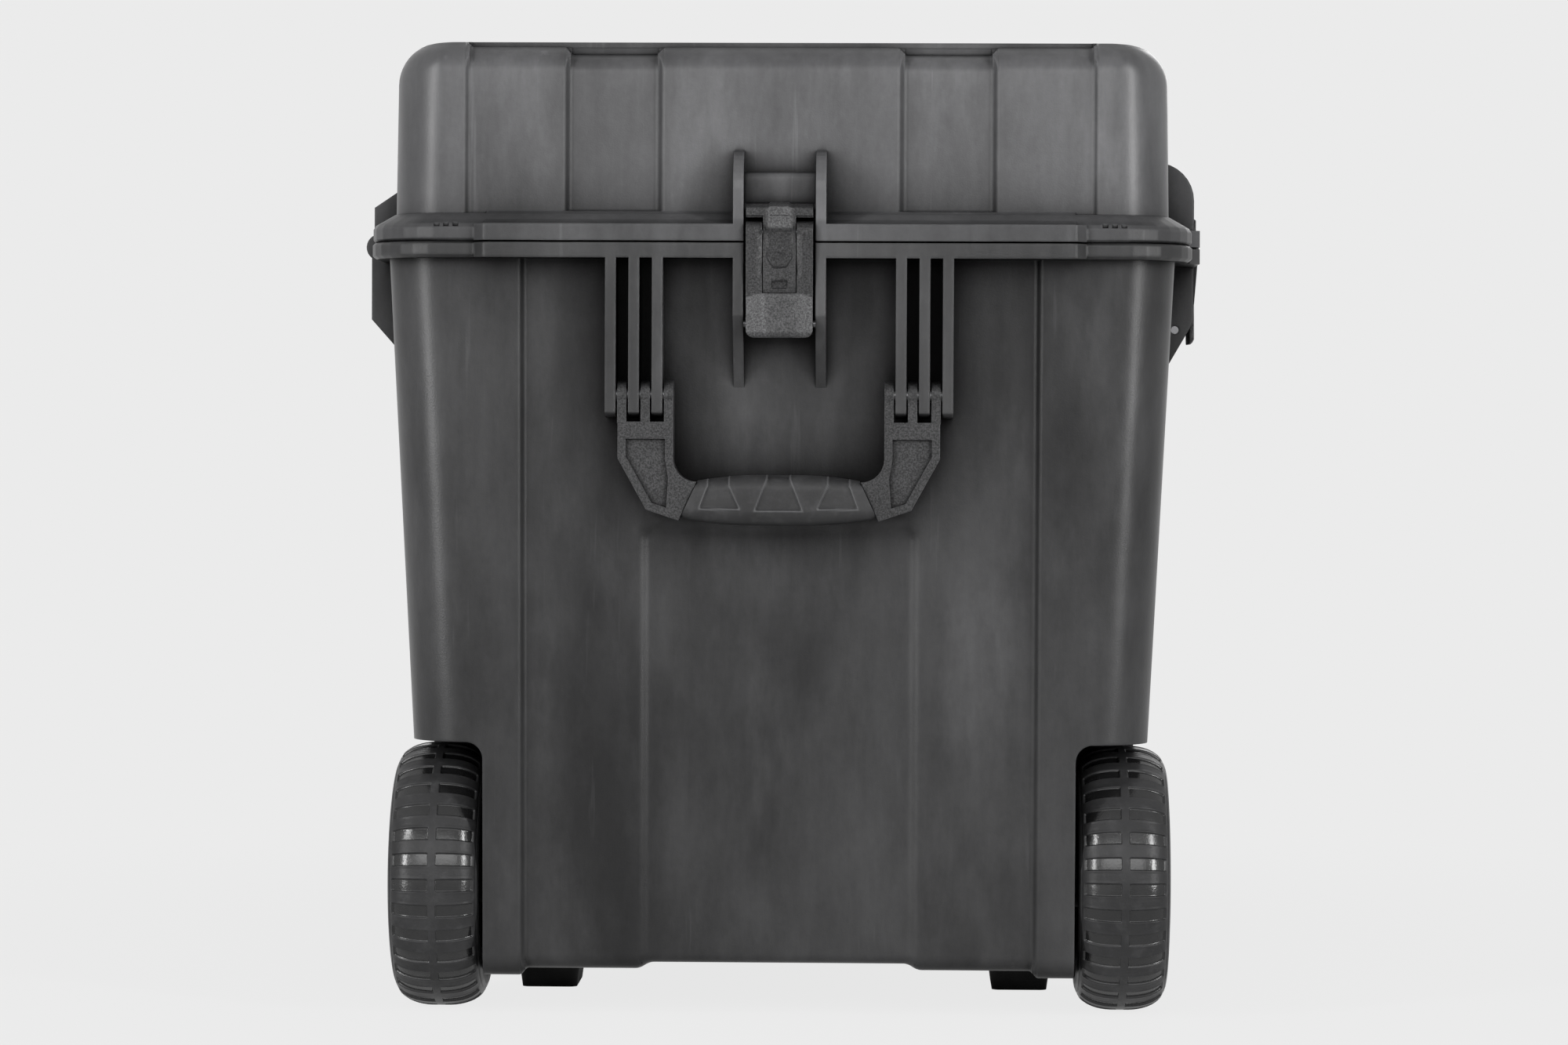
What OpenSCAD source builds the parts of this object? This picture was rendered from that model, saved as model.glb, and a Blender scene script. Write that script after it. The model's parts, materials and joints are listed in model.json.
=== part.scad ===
// Tall wheeled hard case: a drafted moulded body and a hinged lid, held by four two-stage
// latches, with a folding carry handle and two wheels at the front end.
// Millimetres. X runs across the case, Y along it and Z up from the floor. The wheels are at -Y.

/* [Case] */
// Width over the corner flanges
case_w = 512; // [490:1:560]
// Length over the corner flanges
case_l = 700; // [670:1:800]
// Height from the floor to the top of the lid
case_h = 609; // [595:1:650]
// Height of the joint between body and lid
parting_z = 483.9; // [477:0.1:491]
// Height of the underside of the body at its corners
bottom_z = 26.6; // [22:0.1:34]
// Thickness of the moulded walls
wall = 4.2; // [3:0.1:5]
// Corner radius of the walls seen from above
corner_r = 38; // [30:1:50]
// Draft of the body walls in degrees
body_draft = 2.75; // [1.5:0.05:3]
// Draft of the lid walls in degrees
lid_draft = 0.8; // [0.4:0.05:1.6]
// Radius of the edge under the body
bottom_r = 14; // [13.5:0.5:18]
// Radius of the lid's long top edges
lid_side_r = 26; // [22:1:32]
// Radius of the lid's top edges at the two ends
lid_end_r = 20; // [16:1:24]

/* [Flanges] */
// Reach of the body flange beyond the body wall
body_flange_out = 10.8; // [10:0.1:14]
// Reach of the lid flange beyond the lid wall
lid_flange_out = 14.8; // [13.5:0.1:18]
// Thickness of the body flange
body_flange_t = 10; // [8:0.5:12]
// Thickness of the lid flange at its edge
lid_flange_t = 10.5; // [8:0.5:12]
// Height over which the lid flange runs up into the wall
lid_flange_rise = 7; // [4:0.5:10]
// Gap between the two flanges at the corners
flange_gap = 0.4; // [0.3:0.05:0.8]
// Gap between the two straight bands
band_gap = 1.2; // [0.8:0.1:2]
// Reach of the straight bands beyond the corner flanges
band_out = 6.5; // [5:0.5:8]
// Half length of the straight band on each end
end_band = 182; // [150:1:195]
// Distance of the side band's end from the corner of the flange
side_band_in = 74; // [66:1:90]
// Width of the sealing groove in the lid
seal_w = 5.4; // [4.6:0.1:6]
// Depth of the sealing groove in the lid
seal_depth = 4.6; // [4:0.1:6]
// Distance of the seal's middle from the flange edge
seal_in = 12.6; // [12.2:0.1:13]

// Place of the first of the three small notches beside each end band
notch_x = 198; // [196:0.5:200]
// Width of a notch
notch_w = 3.6; // [3:0.1:5]
// Distance from one notch to the next
notch_pitch = 5.8; // [5:0.1:7]

/* [Wall relief] */
// Half width of the set-back middle of each body end
body_step_x = 158; // [130:1:170]
// Width of the raised body corners on the long sides
body_corner_l = 97; // [85:1:110]
// Depth of the set-back middle
body_step_d = 4.5; // [3:0.1:5]
// Half width of the lower centre recess on each body end
recess_x = 84.8; // [60:0.2:100]
// Height of the top of the centre recess
recess_top_z = 312; // [250:0.5:340]
// Further depth of the centre recess
recess_d = 4; // [2:0.1:4.4]
// Half width of the set-back middle of each lid end
lid_step_x = 193; // [180:1:200]
// Width of the raised lid corners on the long sides
lid_corner_l = 63; // [55:1:75]
// Depth of the set-back middle of the lid walls
lid_step_d = 3.6; // [2:0.1:3.8]
// Place of the lid channels' middle on the ends
end_channel_x = 103.5; // [98:0.5:112]
// Place of the lid channels' middle on the long sides
side_channel_y = 93; // [80:0.5:105]
// Half width of the floor of a lid channel
channel_half = 27; // [20:0.5:29]
// Depth of a lid channel below the set-back wall
channel_d = 4.8; // [3:0.1:5]
// Lean of the slanted sides of the steps and channels, as run over depth
side_lean = 0.7; // [0.4:0.05:0.9]
// Flat land between the edge radius and the end of a channel
channel_land = 1.5; // [0.5:0.1:4]

/* [Wheels] */
// Diameter of a wheel over its tyre
wheel_d = 168; // [155:1:171]
// Width of a tyre
tyre_w = 57.5; // [50:0.5:60]
// Depth of the tyre's rubber
tyre_t = 20; // [16:0.5:24]
// Distance of the axles from the front edge of the flange
axle_in = 104; // [98:1:125]
// Half distance between the inner walls of the wheel wells
well_in_x = 184; // [180:0.5:190]
// Gap between tyre and well wall, filled at the hub by a washer
well_side_gap = 3; // [2.4:0.1:5]
// Gap between tyre and the roof of the well
well_top_gap = 5.7; // [5:0.1:9]
// Radius of the well's inner upper edge
well_r = 11; // [6:0.5:16]
// Diameter of the axle bolts
axle_d = 12; // [10:0.5:14]
// Wall thickness of an axle bush
bush_t = 2.5; // [2:0.1:4]
// Length of an axle bush
bush_l = 14; // [10:0.5:18]
// Outer diameter of the wheel's hub
hub_d = 38; // [34:0.5:44]
// Thickness of the wheel's web and ribs
rib_t = 4; // [3:0.1:6]
// Number of ribs on the wheel's web
spoke_count = 8; // [5:1:10]
// Rows of tread around the tyre
tread_rows = 32; // [24:2:36]
// Length of a tread pocket round the tyre
tread_l = 7.8; // [6:0.1:9]
// Depth of a tread pocket
tread_depth = 1.6; // [1:0.1:2.5]
// Half width of the narrow rib in the middle of the tread
tread_mid = 2.5; // [1:0.1:3]
// Width of a tread pocket
tread_w = 18.5; // [14:0.5:20]

/* [Feet] */
// Width of a foot
foot_w = 42; // [34:1:50]
// Length of a foot
foot_l = 66; // [50:1:80]
// Half distance between the feet's middles
foot_x = 155; // [140:1:160]
// Distance of the front feet behind the flange edge
foot_front_in = 228; // [215:1:260]
// Distance of the rear feet from the flange edge
foot_rear_in = 140; // [135:1:180]
// Diameter of the foot screws
screw_d = 5; // [4:0.5:6]
// Distance between the two screws of a foot
screw_pitch = 36; // [24:1:42]

/* [Latches] */
// Width of a latch
latch_w = 41.2; // [36:0.2:46]
// Gap between a latch and the ribs beside it
latch_gap = 1.6; // [1:0.1:2.5]
// Thickness of the ribs beside a latch
latch_rib_t = 6.4; // [5:0.1:8]
// Height of the latch's top
latch_top_z = 505.5; // [501:0.5:505.5]
// Height of the bottom of the pull tab
tab_z = 424.8; // [421:0.1:426]
// Height of the top of the pull tab
tab_top_z = 452.7; // [447:0.1:456]
// Half width of the hook's stem
stem_half = 10.1; // [8:0.1:12]
// Height of the lower pivot, in the body ribs
low_pivot_z = 433.5; // [432:0.5:436]
// Depth of the lower pivot behind the band face
low_pivot_y = 12; // [11:0.5:13]
// Height of the upper pivot, in the hook
top_pivot_z = 489.5; // [487:0.5:490.5]
// Depth of the upper pivot behind the band face
top_pivot_y = 3; // [2:0.5:4]
// Diameter of the lower pivot pin
low_pin_d = 5; // [4:0.5:6]
// Diameter of the upper pivot pin
top_pin_d = 4; // [3:0.5:5]
// How far the latch stands out from the bands
latch_proud = 1.2; // [0.5:0.1:3]
// Height of the pointed lower end of the latch ribs
rib_tip_z = 389.5; // [377:0.5:401]
// Height of the top of the lid's latch ribs
lid_rib_z = 541; // [532:0.5:551]
// Distance of the side latches from the middle of the case
side_latch_y = 190; // [180:1:205]

/* [Hinges] */
// Diameter of the hinge pins
hinge_pin_d = 6; // [5:0.5:7]
// Radius of the hinge knuckles
knuckle_r = 8.5; // [7.5:0.1:9]
// Length of a knuckle
knuckle_l = 14; // [10:0.5:18]
// Number of knuckles in a hinge
knuckle_count = 7; // [5:2:9]
// Gap between knuckles
knuckle_gap = 0.6; // [0.4:0.1:1]
// Depth of the hinge axis behind the band face
hinge_y = 4; // [3.5:0.1:4.5]
// Distance of the hinges from the middle of the case
hinge_at = 190; // [180:1:205]

/* [Carry handles] */
// Height of the handle's pivot
grip_pivot_z = 389.5; // [385:0.5:394]
// Radius of the handle's tine tips
tine_r = 9; // [8:0.1:10]
// Place of the innermost tine's inner face
tine_x = 64.8; // [60:0.1:68]
// Thickness of a tine
tine_t = 5.7; // [5:0.1:6]
// Distance from one tine to the next
tine_pitch = 14.4; // [14:0.1:15]
// Gap between a tine and its rib
tine_gap = 1; // [0.6:0.1:1.3]
// Diameter of the handle pins
grip_pin_d = 8; // [6:0.5:9]
// Thickness of the handle's frame
frame_t = 17; // [14:0.5:18]
// Height of the lowest point of the grip
grip_bottom_z = 309.5; // [302:0.5:312]
// Height of the grip's middle
grip_h = 31; // [28:0.5:34]
// Depth of the grip from front to back
grip_depth = 25; // [22:0.5:26]
// Half length of the grip at its lower edge
grip_half = 61.5; // [58:0.5:64]
// Width of the handle's arms
arm_w = 34.2; // [32:0.1:36]

/* [Valve] */
// Diameter of the pressure valve's flange
valve_d = 30; // [24:1:34]
// Height of the valve
valve_z = 436; // [416:1:446]

/* [Hidden] */
$fn = 48;

case_grey = [0.26, 0.26, 0.27];
lid_grey = [0.36, 0.36, 0.37];
trim_grey = [0.30, 0.30, 0.31];
dark_grey = [0.12, 0.12, 0.12];
steel = [0.70, 0.70, 0.72];

// The four sides are numbered anticlockwise from the front: front, right, rear, left.
front = 0;
right = 1;
rear = 2;
left = 3;

run_gap = 0.05;
skin_gap = 0.3;
post_t = 0.01;
side_stop = 1;
far = 600;
half_w = case_w / 2;
half_l = case_l / 2;
body_top_z = parting_z - flange_gap / 2;
lid_low_z = parting_z + flange_gap / 2;
body_band_z = parting_z - band_gap * 0.75;
lid_band_z = parting_z + band_gap * 0.25;
body_hw = half_w - body_flange_out;
body_hl = half_l - body_flange_out;
lid_hw = half_w - lid_flange_out;
lid_hl = half_l - lid_flange_out;
body_slope = tan(body_draft);
lid_slope = tan(lid_draft);

tab_inner_y = 1.8;
axle_y = -half_l + axle_in;
foot_front_y = -half_l + foot_front_in;
foot_rear_y = half_l - foot_rear_in;
side_band = half_l - side_band_in;
screw_seat_z = 10;
seal_ridge_h = 1.5;
gasket_h = 3;
valve_stem_d = 12;
valve_t = 4;
valve_nut_t = 5;
axle_boss_l = 14;
hinge_half = (knuckle_count * (knuckle_l + knuckle_gap) - knuckle_gap) / 2;
seam_low_z = grip_bottom_z + 2.8;
seam_run = 11;
core_half = 6;
knee_z = grip_bottom_z + 41;
bend_r = tine_x - (grip_half - seam_run);
knuckle_web_rise = 44;
knuckle_web_drop = 76;
boss_top_z = parting_z + 43;
valve_bore_run = 60;
rib_t_handle = tine_pitch - tine_t - 2 * tine_gap;
function rib_x(i) = tine_x + i * tine_pitch + tine_t + tine_gap;
pin_in = tine_x;
pin_out = rib_x(2) + rib_t_handle;
wheel_in_x = well_in_x + well_side_gap;
hub_inset = 6;
hub_out_x = wheel_in_x + tyre_w - hub_inset;
web_z = tyre_w * 0.45;

// Depth behind the band face, which is y = 0 in the frame of one side.
corner_face = band_out + body_flange_out;
function body_face(z) = corner_face + body_step_d + (parting_z - z) * body_slope;
function lid_face(z) = band_out + lid_flange_out + lid_step_d + (z - parting_z) * lid_slope;
catch_y = low_pivot_y + 3.4;
bay_y = catch_y;
bay_half = latch_w / 2 + latch_gap;
rib_out = bay_half + latch_rib_t;

// Points on an arc about [x, y], from angle a to angle b.
function arc(x, y, r, a, b, n = 8) =
  [for (i = [0:n]) [x + r * cos(a + (b - a) * i / n), y + r * sin(a + (b - a) * i / n)]];

// A plan outline with round corners.
module round_plan(hw, hl, r) {
  square([2 * (hw - r), 2 * hl], center = true);
  square([2 * hw, 2 * (hl - r)], center = true);
  for (x = [-1, 1], y = [-1, 1]) translate([x * (hw - r), y * (hl - r)]) circle(r);
}

// Four thin corner posts, for the hull of a shell.
module posts(hw, hl, r, z) {
  for (x = [-1, 1], y = [-1, 1]) translate([x * (hw - r), y * (hl - r), z]) cylinder(r = r, h = post_t, $fn = 32);
}

// Moves a child from the frame of one side, with y = 0 on the band face, to its place.
module on_side(side, at = 0) {
  rotate([0, 0, 90 * side])
    translate([at, -(side % 2 == 0 ? half_l : half_w) - band_out, 0])
      children();
}

// An outline in the YZ plane, extruded from x0 to x1.
module along_x(x0, x1) {
  translate([x0, 0, 0]) rotate([90, 0, 90]) linear_extrude(x1 - x0) children();
}

// An outline in the XZ plane, extruded from y0 to y1.
module along_y(y0, y1) {
  translate([0, y1, 0]) rotate([90, 0, 0]) linear_extrude(y1 - y0) children();
}

module rod_x(x0, x1, y, z, r) {
  translate([x0, y, z]) rotate([0, 90, 0]) cylinder(r = r, h = x1 - x0);
}

// The cross-section of a groove's slanted sides, which end just above its floor at depth d.
function groove_sides(half, d) =
  let (floor_d = d - side_stop, foot = half + side_lean * side_stop, wide = half + side_lean * (d + 5))
  [[-foot, floor_d], [foot, floor_d], [wide, -5], [-wide, -5]];

// A groove that runs down a drafted wall, turns over its edge radius and runs on inwards.
// The wall passes through the X axis and faces -Y. The groove starts at a height lead above it.
module wrap_groove(half, d, run, r, draft, over, lead = 6) {
  drop = run - r;
  set_in = (r + drop * sin(draft)) / cos(draft);
  along_x(-half, half) polygon(concat(
    [[d / cos(draft) - lead * tan(draft), lead]], arc(set_in, -drop, max(r - d, 0.4), 180 + draft, 270, 6),
    [[set_in + over, -run + d], [set_in + over, -run - 20], [-20, -run - 20], [-20, lead]]));
  rotate([draft, 0, 0]) translate([0, 0, -run - 20]) linear_extrude(run + 20 + lead - side_stop)
    polygon(groove_sides(half, d));
  translate([0, -20, -run]) rotate([-90, 0, 0]) linear_extrude(set_in + over + 20 - side_stop)
    polygon([for (p = groove_sides(half, d)) [p[0], -p[1]]]);
}

// The grooves of the body, grown by g so that the same forms also shape the inside.
module body_grooves(g = 0) {
  run = parting_z - bottom_z;
  recess_run = recess_top_z - bottom_z;
  for (side = [front, rear]) on_side(side) {
    translate([0, corner_face, parting_z])
      wrap_groove(body_step_x + g, body_step_d + g, run, bottom_r, body_draft, half_l);
    translate([0, corner_face + (parting_z - recess_top_z - g) * body_slope, recess_top_z + g])
      wrap_groove(recess_x + g, body_step_d + recess_d + g, recess_run + g, bottom_r, body_draft, half_l, 0);
  }
  for (side = [right, left]) on_side(side) translate([0, corner_face, parting_z])
    wrap_groove(half_l - body_corner_l + g, body_step_d + g, run, bottom_r, body_draft, half_w);
}

// The grooves of the lid, grown by g for the inside.
module lid_grooves(g = 0) {
  run = case_h - parting_z;
  deep = lid_step_d + channel_d;
  for (side = [front, rear]) on_side(side) translate([0, band_out + lid_flange_out, parting_z]) mirror([0, 0, 1]) {
    wrap_groove(lid_step_x + g, lid_step_d + g, run, lid_end_r, lid_draft, channel_land);
    for (x = [-1, 1]) translate([x * end_channel_x, 0, 0])
      wrap_groove(channel_half + g, deep + g, run, lid_end_r, lid_draft, channel_land / 2);
  }
  for (side = [right, left]) on_side(side) translate([0, band_out + lid_flange_out, parting_z]) mirror([0, 0, 1]) {
    wrap_groove(half_l - lid_corner_l + g, lid_step_d + g, run, lid_side_r, lid_draft, channel_land);
    for (y = [-1, 1]) translate([y * side_channel_y, 0, 0])
      wrap_groove(channel_half + g, deep + g, run, lid_side_r, lid_draft, channel_land / 2);
  }
}

// The body's outer form, or its inside where g is the wall.
module body_form(g, top_z) {
  r = bottom_r - g;
  hull() {
    for (a = [0:18:90]) {
      z = bottom_z + g + r * (1 - cos(a));
      pull = g + r * (1 - sin(a)) + (parting_z - z) * body_slope;
      posts(body_hw - pull, body_hl - pull, corner_r - g - r * (1 - sin(a)), z);
    }
    posts(body_hw - g, body_hl - g, corner_r - g, top_z - post_t);
  }
}

// Inset of a rounded top edge of radius r at a distance h below the top.
function edge_inset(r, h) = h < r ? r - sqrt(r * r - (r - h) * (r - h)) : 0;

// The lid's outer form, or its inside where g is the wall.
module lid_form(g, low_z) {
  side_r = lid_side_r - g;
  end_r = lid_end_r - g;
  hull() {
    for (a = [0:15:90]) {
      h = side_r * (1 - sin(a));
      z = case_h - g - h;
      lean = g + (z - parting_z) * lid_slope;
      in_x = edge_inset(side_r, h);
      in_y = edge_inset(end_r, h);
      posts(lid_hw - lean - in_x, lid_hl - lean - in_y, corner_r - g - min(in_x, in_y) * 0.8, z - post_t);
    }
    posts(lid_hw - g, lid_hl - g, corner_r - g, low_z);
  }
}

// The room for a wheel, grown by g for the inside: flat over the wheel, round behind it.
module wheel_room(s, g = 0) {
  reach = wheel_d / 2 + well_top_gap + g;
  r = well_r + g;
  inner = well_in_x - g;
  scale([s, 1, 1]) translate([0, axle_y, wheel_d / 2]) {
    along_y(-far, 0) {
      translate([inner, -far]) square([far, far + reach - r]);
      translate([inner + r, 0]) square([far, reach]);
      translate([inner + r, reach - r]) circle(r);
    }
    rotate([0, 90, 0]) rotate_extrude() {
      translate([0, inner]) square([reach - r, far]);
      translate([0, inner + r]) square([reach, far]);
      translate([reach - r, inner + r]) circle(r);
    }
  }
}

// The places of the foot screws: two along each foot.
module foot_places() {
  for (x = [-1, 1], y = [foot_front_y, foot_rear_y], k = [-1, 1])
    translate([x * foot_x, y + k * screw_pitch / 2, 0]) children();
}

// Lies between two levels of a bay that a moving piece needs, from the outside in to depth y.
module bay_cut(half, y, z0, z1) {
  translate([-half, -20, z0]) cube([2 * half, 20 + y, z1 - z0]);
}

// The side profile of a body rib that holds a handle pin.
module handle_rib_profile() {
  r = tine_r + 5;
  difference() {
    union() {
      translate([0, grip_pivot_z]) square([body_face(grip_pivot_z) + wall / 2, body_band_z - grip_pivot_z]);
      translate([tine_r, grip_pivot_z]) circle(r);
      translate([tine_r, grip_pivot_z - r]) square([body_face(grip_pivot_z) + wall / 2 - tine_r, r]);
    }
    translate([-far, 0]) square([far, far]);
  }
}

// The side profile of a body rib beside a latch: straight, then drawn in to a point on the wall.
module latch_rib_profile() {
  root = body_face(rib_tip_z) + wall / 2;
  polygon([[0, body_band_z], [0, low_pivot_z + 5], [root, rib_tip_z], [root, body_band_z]]);
}

// The side profile of a lid rib beside a latch, with its rounded top.
module lid_rib_profile() {
  root = lid_face(lid_rib_z) + wall / 2;
  r = lid_face(lid_rib_z) - 1;
  polygon(concat([[0, lid_band_z]], arc(r, lid_rib_z - r, r, 180, 90), [[root, lid_rib_z], [root, lid_band_z]]));
}

// The sealing groove or the ring in it: a band of plan width w about the seal line.
module seal_ring(w, z, h) {
  out = seal_in - w / 2;
  translate([0, 0, z]) linear_extrude(h) difference() {
    round_plan(half_w - out, half_l - out, corner_r - out + body_flange_out);
    round_plan(half_w - out - w, half_l - out - w, corner_r - out - w + body_flange_out);
  }
}

// One knuckle of a hinge: a barrel and the web that ties it to the wall.
module knuckle(i, in_lid) {
  x0 = -hinge_half + i * (knuckle_l + knuckle_gap);
  web_y = hinge_y - knuckle_r * 0.6;
  top = parting_z + knuckle_web_rise;
  low = parting_z - knuckle_web_drop;
  along_x(x0, x0 + knuckle_l) difference() {
    union() {
      translate([hinge_y, parting_z]) circle(knuckle_r);
      if (in_lid)
        polygon([[web_y, parting_z], [web_y, top - 18], [lid_face(top), top],
          [lid_face(parting_z) + wall / 2, top], [lid_face(parting_z) + wall / 2, lid_low_z],
          [hinge_y, lid_low_z]]);
      else
        polygon([[web_y, parting_z], [hinge_y, body_top_z], [body_face(parting_z) + wall / 2, body_top_z],
          [body_face(low) + wall / 2, low], [body_face(low), low], [web_y, low + 30]]);
    }
    translate([hinge_y, parting_z]) circle(hinge_pin_d / 2 + run_gap);
  }
}

// A straight band on a flange, with slanted ends.
module band(half, z0, z1, root) {
  translate([0, 0, z0]) linear_extrude(z1 - z0)
    polygon([[-half - band_out, band_out], [-half, 0], [half, 0], [half + band_out, band_out],
      [half + band_out, root], [-half - band_out, root]]);
}

module body_flange() {
  low = body_top_z - body_flange_t;
  hull() for (p = [[0, 2.5], [2, 0], [body_flange_t - 1.5, 0], [body_flange_t, 1.5]])
    posts(half_w - p[1], half_l - p[1], corner_r + body_flange_out - p[1], low + max(p[0] - post_t, 0));
  for (side = [front, rear]) on_side(side) band(end_band, low, body_band_z, body_face(low));
  on_side(right) band(side_band, low, body_band_z, body_face(low));
}

// Latch stations: side, place along it.
latch_places = [[front, 0], [rear, 0], [right, -side_latch_y], [right, side_latch_y]];

module body_ribs() {
  for (p = latch_places) on_side(p[0], p[1]) for (s = [-1, 1]) {
    x = s > 0 ? bay_half : -rib_out;
    along_x(x, x + latch_rib_t) latch_rib_profile();
  }
  for (side = [front, rear], s = [-1, 1], i = [0:2]) on_side(side)
    translate([s > 0 ? 0 : -2 * rib_x(i) - rib_t_handle, 0, 0])
      along_x(rib_x(i), rib_x(i) + rib_t_handle) handle_rib_profile();
  for (y = [-hinge_at, hinge_at]) on_side(left, y) for (i = [0:2:knuckle_count - 1]) knuckle(i, false);
}

module body_shell() {
  inner_floor_z = bottom_z + body_step_d + wall;
  color(case_grey) difference() {
    union() {
      difference() {
        body_form(0, body_top_z);
        body_grooves();
      }
      body_flange();
      body_ribs();
      seal_ring(seal_w - 3, body_top_z - 1, 1 + seal_ridge_h);
    }
    difference() {
      body_form(wall, parting_z + 5);
      body_grooves(wall);
      for (s = [-1, 1]) wheel_room(s, wall);
      foot_places() cylinder(d = screw_d + 10, h = inner_floor_z + 12);
      for (s = [-1, 1]) translate([0, axle_y, wheel_d / 2])
        rod_x(s > 0 ? well_in_x - axle_boss_l : -well_in_x, s > 0 ? well_in_x : axle_boss_l - well_in_x, 0, 0, axle_d + 8);
    }
    for (s = [-1, 1]) wheel_room(s);
    for (p = latch_places) on_side(p[0], p[1]) {
      bay_cut(bay_half, bay_y, body_top_z - body_flange_t - 1, parting_z + 2);
      rod_x(-rib_out - 1, rib_out + 1, low_pivot_y, low_pivot_z, low_pin_d / 2 + run_gap);
    }
    for (y = [-hinge_at, hinge_at]) on_side(left, y) difference() {
      bay_cut(hinge_half + 1, hinge_y + knuckle_r + 1, parting_z - knuckle_web_drop - 14, parting_z + 5);
      for (i = [0:2:knuckle_count - 1]) knuckle(i, false);
    }
    for (side = [front, rear], s = [-1, 1]) on_side(side)
      rod_x(min(s * pin_in, s * pin_out), max(s * pin_in, s * pin_out), tine_r, grip_pivot_z, grip_pin_d / 2 + run_gap);
    for (s = [-1, 1]) rod_x(s > 0 ? 0 : -far, s > 0 ? far : 0, axle_y, wheel_d / 2, axle_d / 2 + run_gap);
    foot_places() cylinder(d = screw_d + 2 * run_gap, h = inner_floor_z + 8);
    at_valve() translate([0, 0, -valve_bore_run * 2 / 3]) cylinder(d = valve_stem_d + 2 * run_gap, h = valve_bore_run);
  }
}

module lid_shell() {
  color(lid_grey) difference() {
    union() {
      difference() {
        lid_form(0, lid_low_z);
        lid_grooves();
      }
      lid_flange();
      for (p = latch_places) on_side(p[0], p[1]) {
        for (s = [-1, 1]) along_x(s > 0 ? bay_half : -rib_out, s > 0 ? rib_out : -bay_half) lid_rib_profile();
        along_x(-bay_half - 1, bay_half + 1) polygon([[bay_y, lid_low_z], [bay_y, latch_top_z + 2],
          [lid_face(boss_top_z), boss_top_z], [lid_face(parting_z) + wall / 2, boss_top_z],
          [lid_face(parting_z) + wall / 2, lid_low_z]]);
      }
      for (y = [-hinge_at, hinge_at]) on_side(left, y) for (i = [1:2:knuckle_count - 2]) knuckle(i, true);
    }
    difference() {
      lid_form(wall, parting_z - 5);
      lid_grooves(wall);
    }
    for (p = latch_places) on_side(p[0], p[1]) bay_cut(bay_half, bay_y, parting_z - 2, parting_z + lid_flange_t + 20);
    for (y = [-hinge_at, hinge_at]) on_side(left, y) difference() {
      bay_cut(hinge_half + 1, hinge_y + knuckle_r + 1, parting_z - 5, parting_z + knuckle_web_rise + 6);
      for (i = [1:2:knuckle_count - 2]) knuckle(i, true);
    }
    seal_ring(seal_w, lid_low_z - 1, 1 + seal_depth);
    for (side = [front, rear], s = [-1, 1], i = [0:2]) on_side(side)
      translate([s * (notch_x + i * notch_pitch + notch_w / 2), band_out - 1, lid_low_z + lid_flange_t - notch_w / 2])
        translate([-notch_w / 2, 0, 0]) cube([notch_w, 4, notch_w + 1]);
  }
}

module lid_flange() {
  foot = half_w - lid_hw - 1;
  hull() for (p = [[0, 1.5], [1.7, 0], [lid_flange_t - 2.5, 0], [lid_flange_t, 1.6],
      [lid_flange_t + lid_flange_rise, foot]])
    posts(half_w - p[1], half_l - p[1], corner_r + lid_flange_out - p[1], lid_low_z + p[0]);
  for (side = [front, rear]) on_side(side) lid_band(end_band);
  on_side(right) lid_band(side_band);
}

module lid_band(half) {
  top = lid_low_z + lid_flange_t;
  band(half, lid_band_z, top, lid_face(top));
  along_x(-half, half) polygon([[2, top - 1], [2, top], [9, top + 1.5], [lid_face(top) - 6, top + lid_flange_rise - 2],
    [lid_face(top), top + lid_flange_rise + 2], [lid_face(top), top - 1]]);
}

module lid_gasket() {
  color(dark_grey) seal_ring(seal_w - 0.4, lid_low_z + seal_depth - gasket_h, gasket_h);
}

module foot(x, y) {
  top = bottom_z + body_step_d;
  color(dark_grey) translate([x, y, 0]) difference() {
    union() {
      translate([0, 0, top - 8]) linear_extrude(8) round_plan(foot_w / 2, foot_l / 2, 6);
      hull() {
        translate([0, 0, top - 8]) linear_extrude(0.01) round_plan(foot_w / 2, foot_l / 2, 6);
        linear_extrude(0.01) round_plan(foot_w / 2 - 3, foot_l / 2 - 3, 5);
      }
    }
    for (k = [-1, 1]) translate([0, k * screw_pitch / 2, 0]) {
      translate([0, 0, -1]) cylinder(d = screw_d + 0.6, h = far);
      translate([0, 0, -1]) cylinder(d = 2 * screw_d + 1, h = screw_seat_z + 1);
    }
  }
}

module foot_front_left() foot(-foot_x, foot_front_y);
module foot_front_right() foot(foot_x, foot_front_y);
module foot_rear_left() foot(-foot_x, foot_rear_y);
module foot_rear_right() foot(foot_x, foot_rear_y);

module foot_screws() {
  color(steel) foot_places() {
    translate([0, 0, screw_seat_z - 3]) cylinder(d = 2 * screw_d, h = 3);
    translate([0, 0, screw_seat_z - 0.5]) cylinder(d = screw_d, h = bottom_z + body_step_d + wall + 7 - screw_seat_z);
  }
}

module axle_bolt(s) {
  color(steel) mirror([s < 0 ? 1 : 0, 0, 0]) {
    rod_x(well_in_x - axle_boss_l - 14, hub_out_x + 0.6, axle_y, wheel_d / 2, axle_d / 2);
    rod_x(hub_out_x + 0.4, hub_out_x + 5, axle_y, wheel_d / 2, axle_d / 2 + 4);
  }
}
module left_axle_bolt() axle_bolt(-1);
module right_axle_bolt() axle_bolt(1);

module axle_nuts() {
  color(steel) for (s = [-1, 1]) mirror([s < 0 ? 1 : 0, 0, 0]) difference() {
    translate([well_in_x - axle_boss_l - 10, axle_y, wheel_d / 2]) rotate([0, 90, 0]) cylinder(r = axle_d * 0.9, h = 10, $fn = 6);
    rod_x(0, far, axle_y, wheel_d / 2, axle_d / 2 + 0.02);
  }
}

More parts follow.
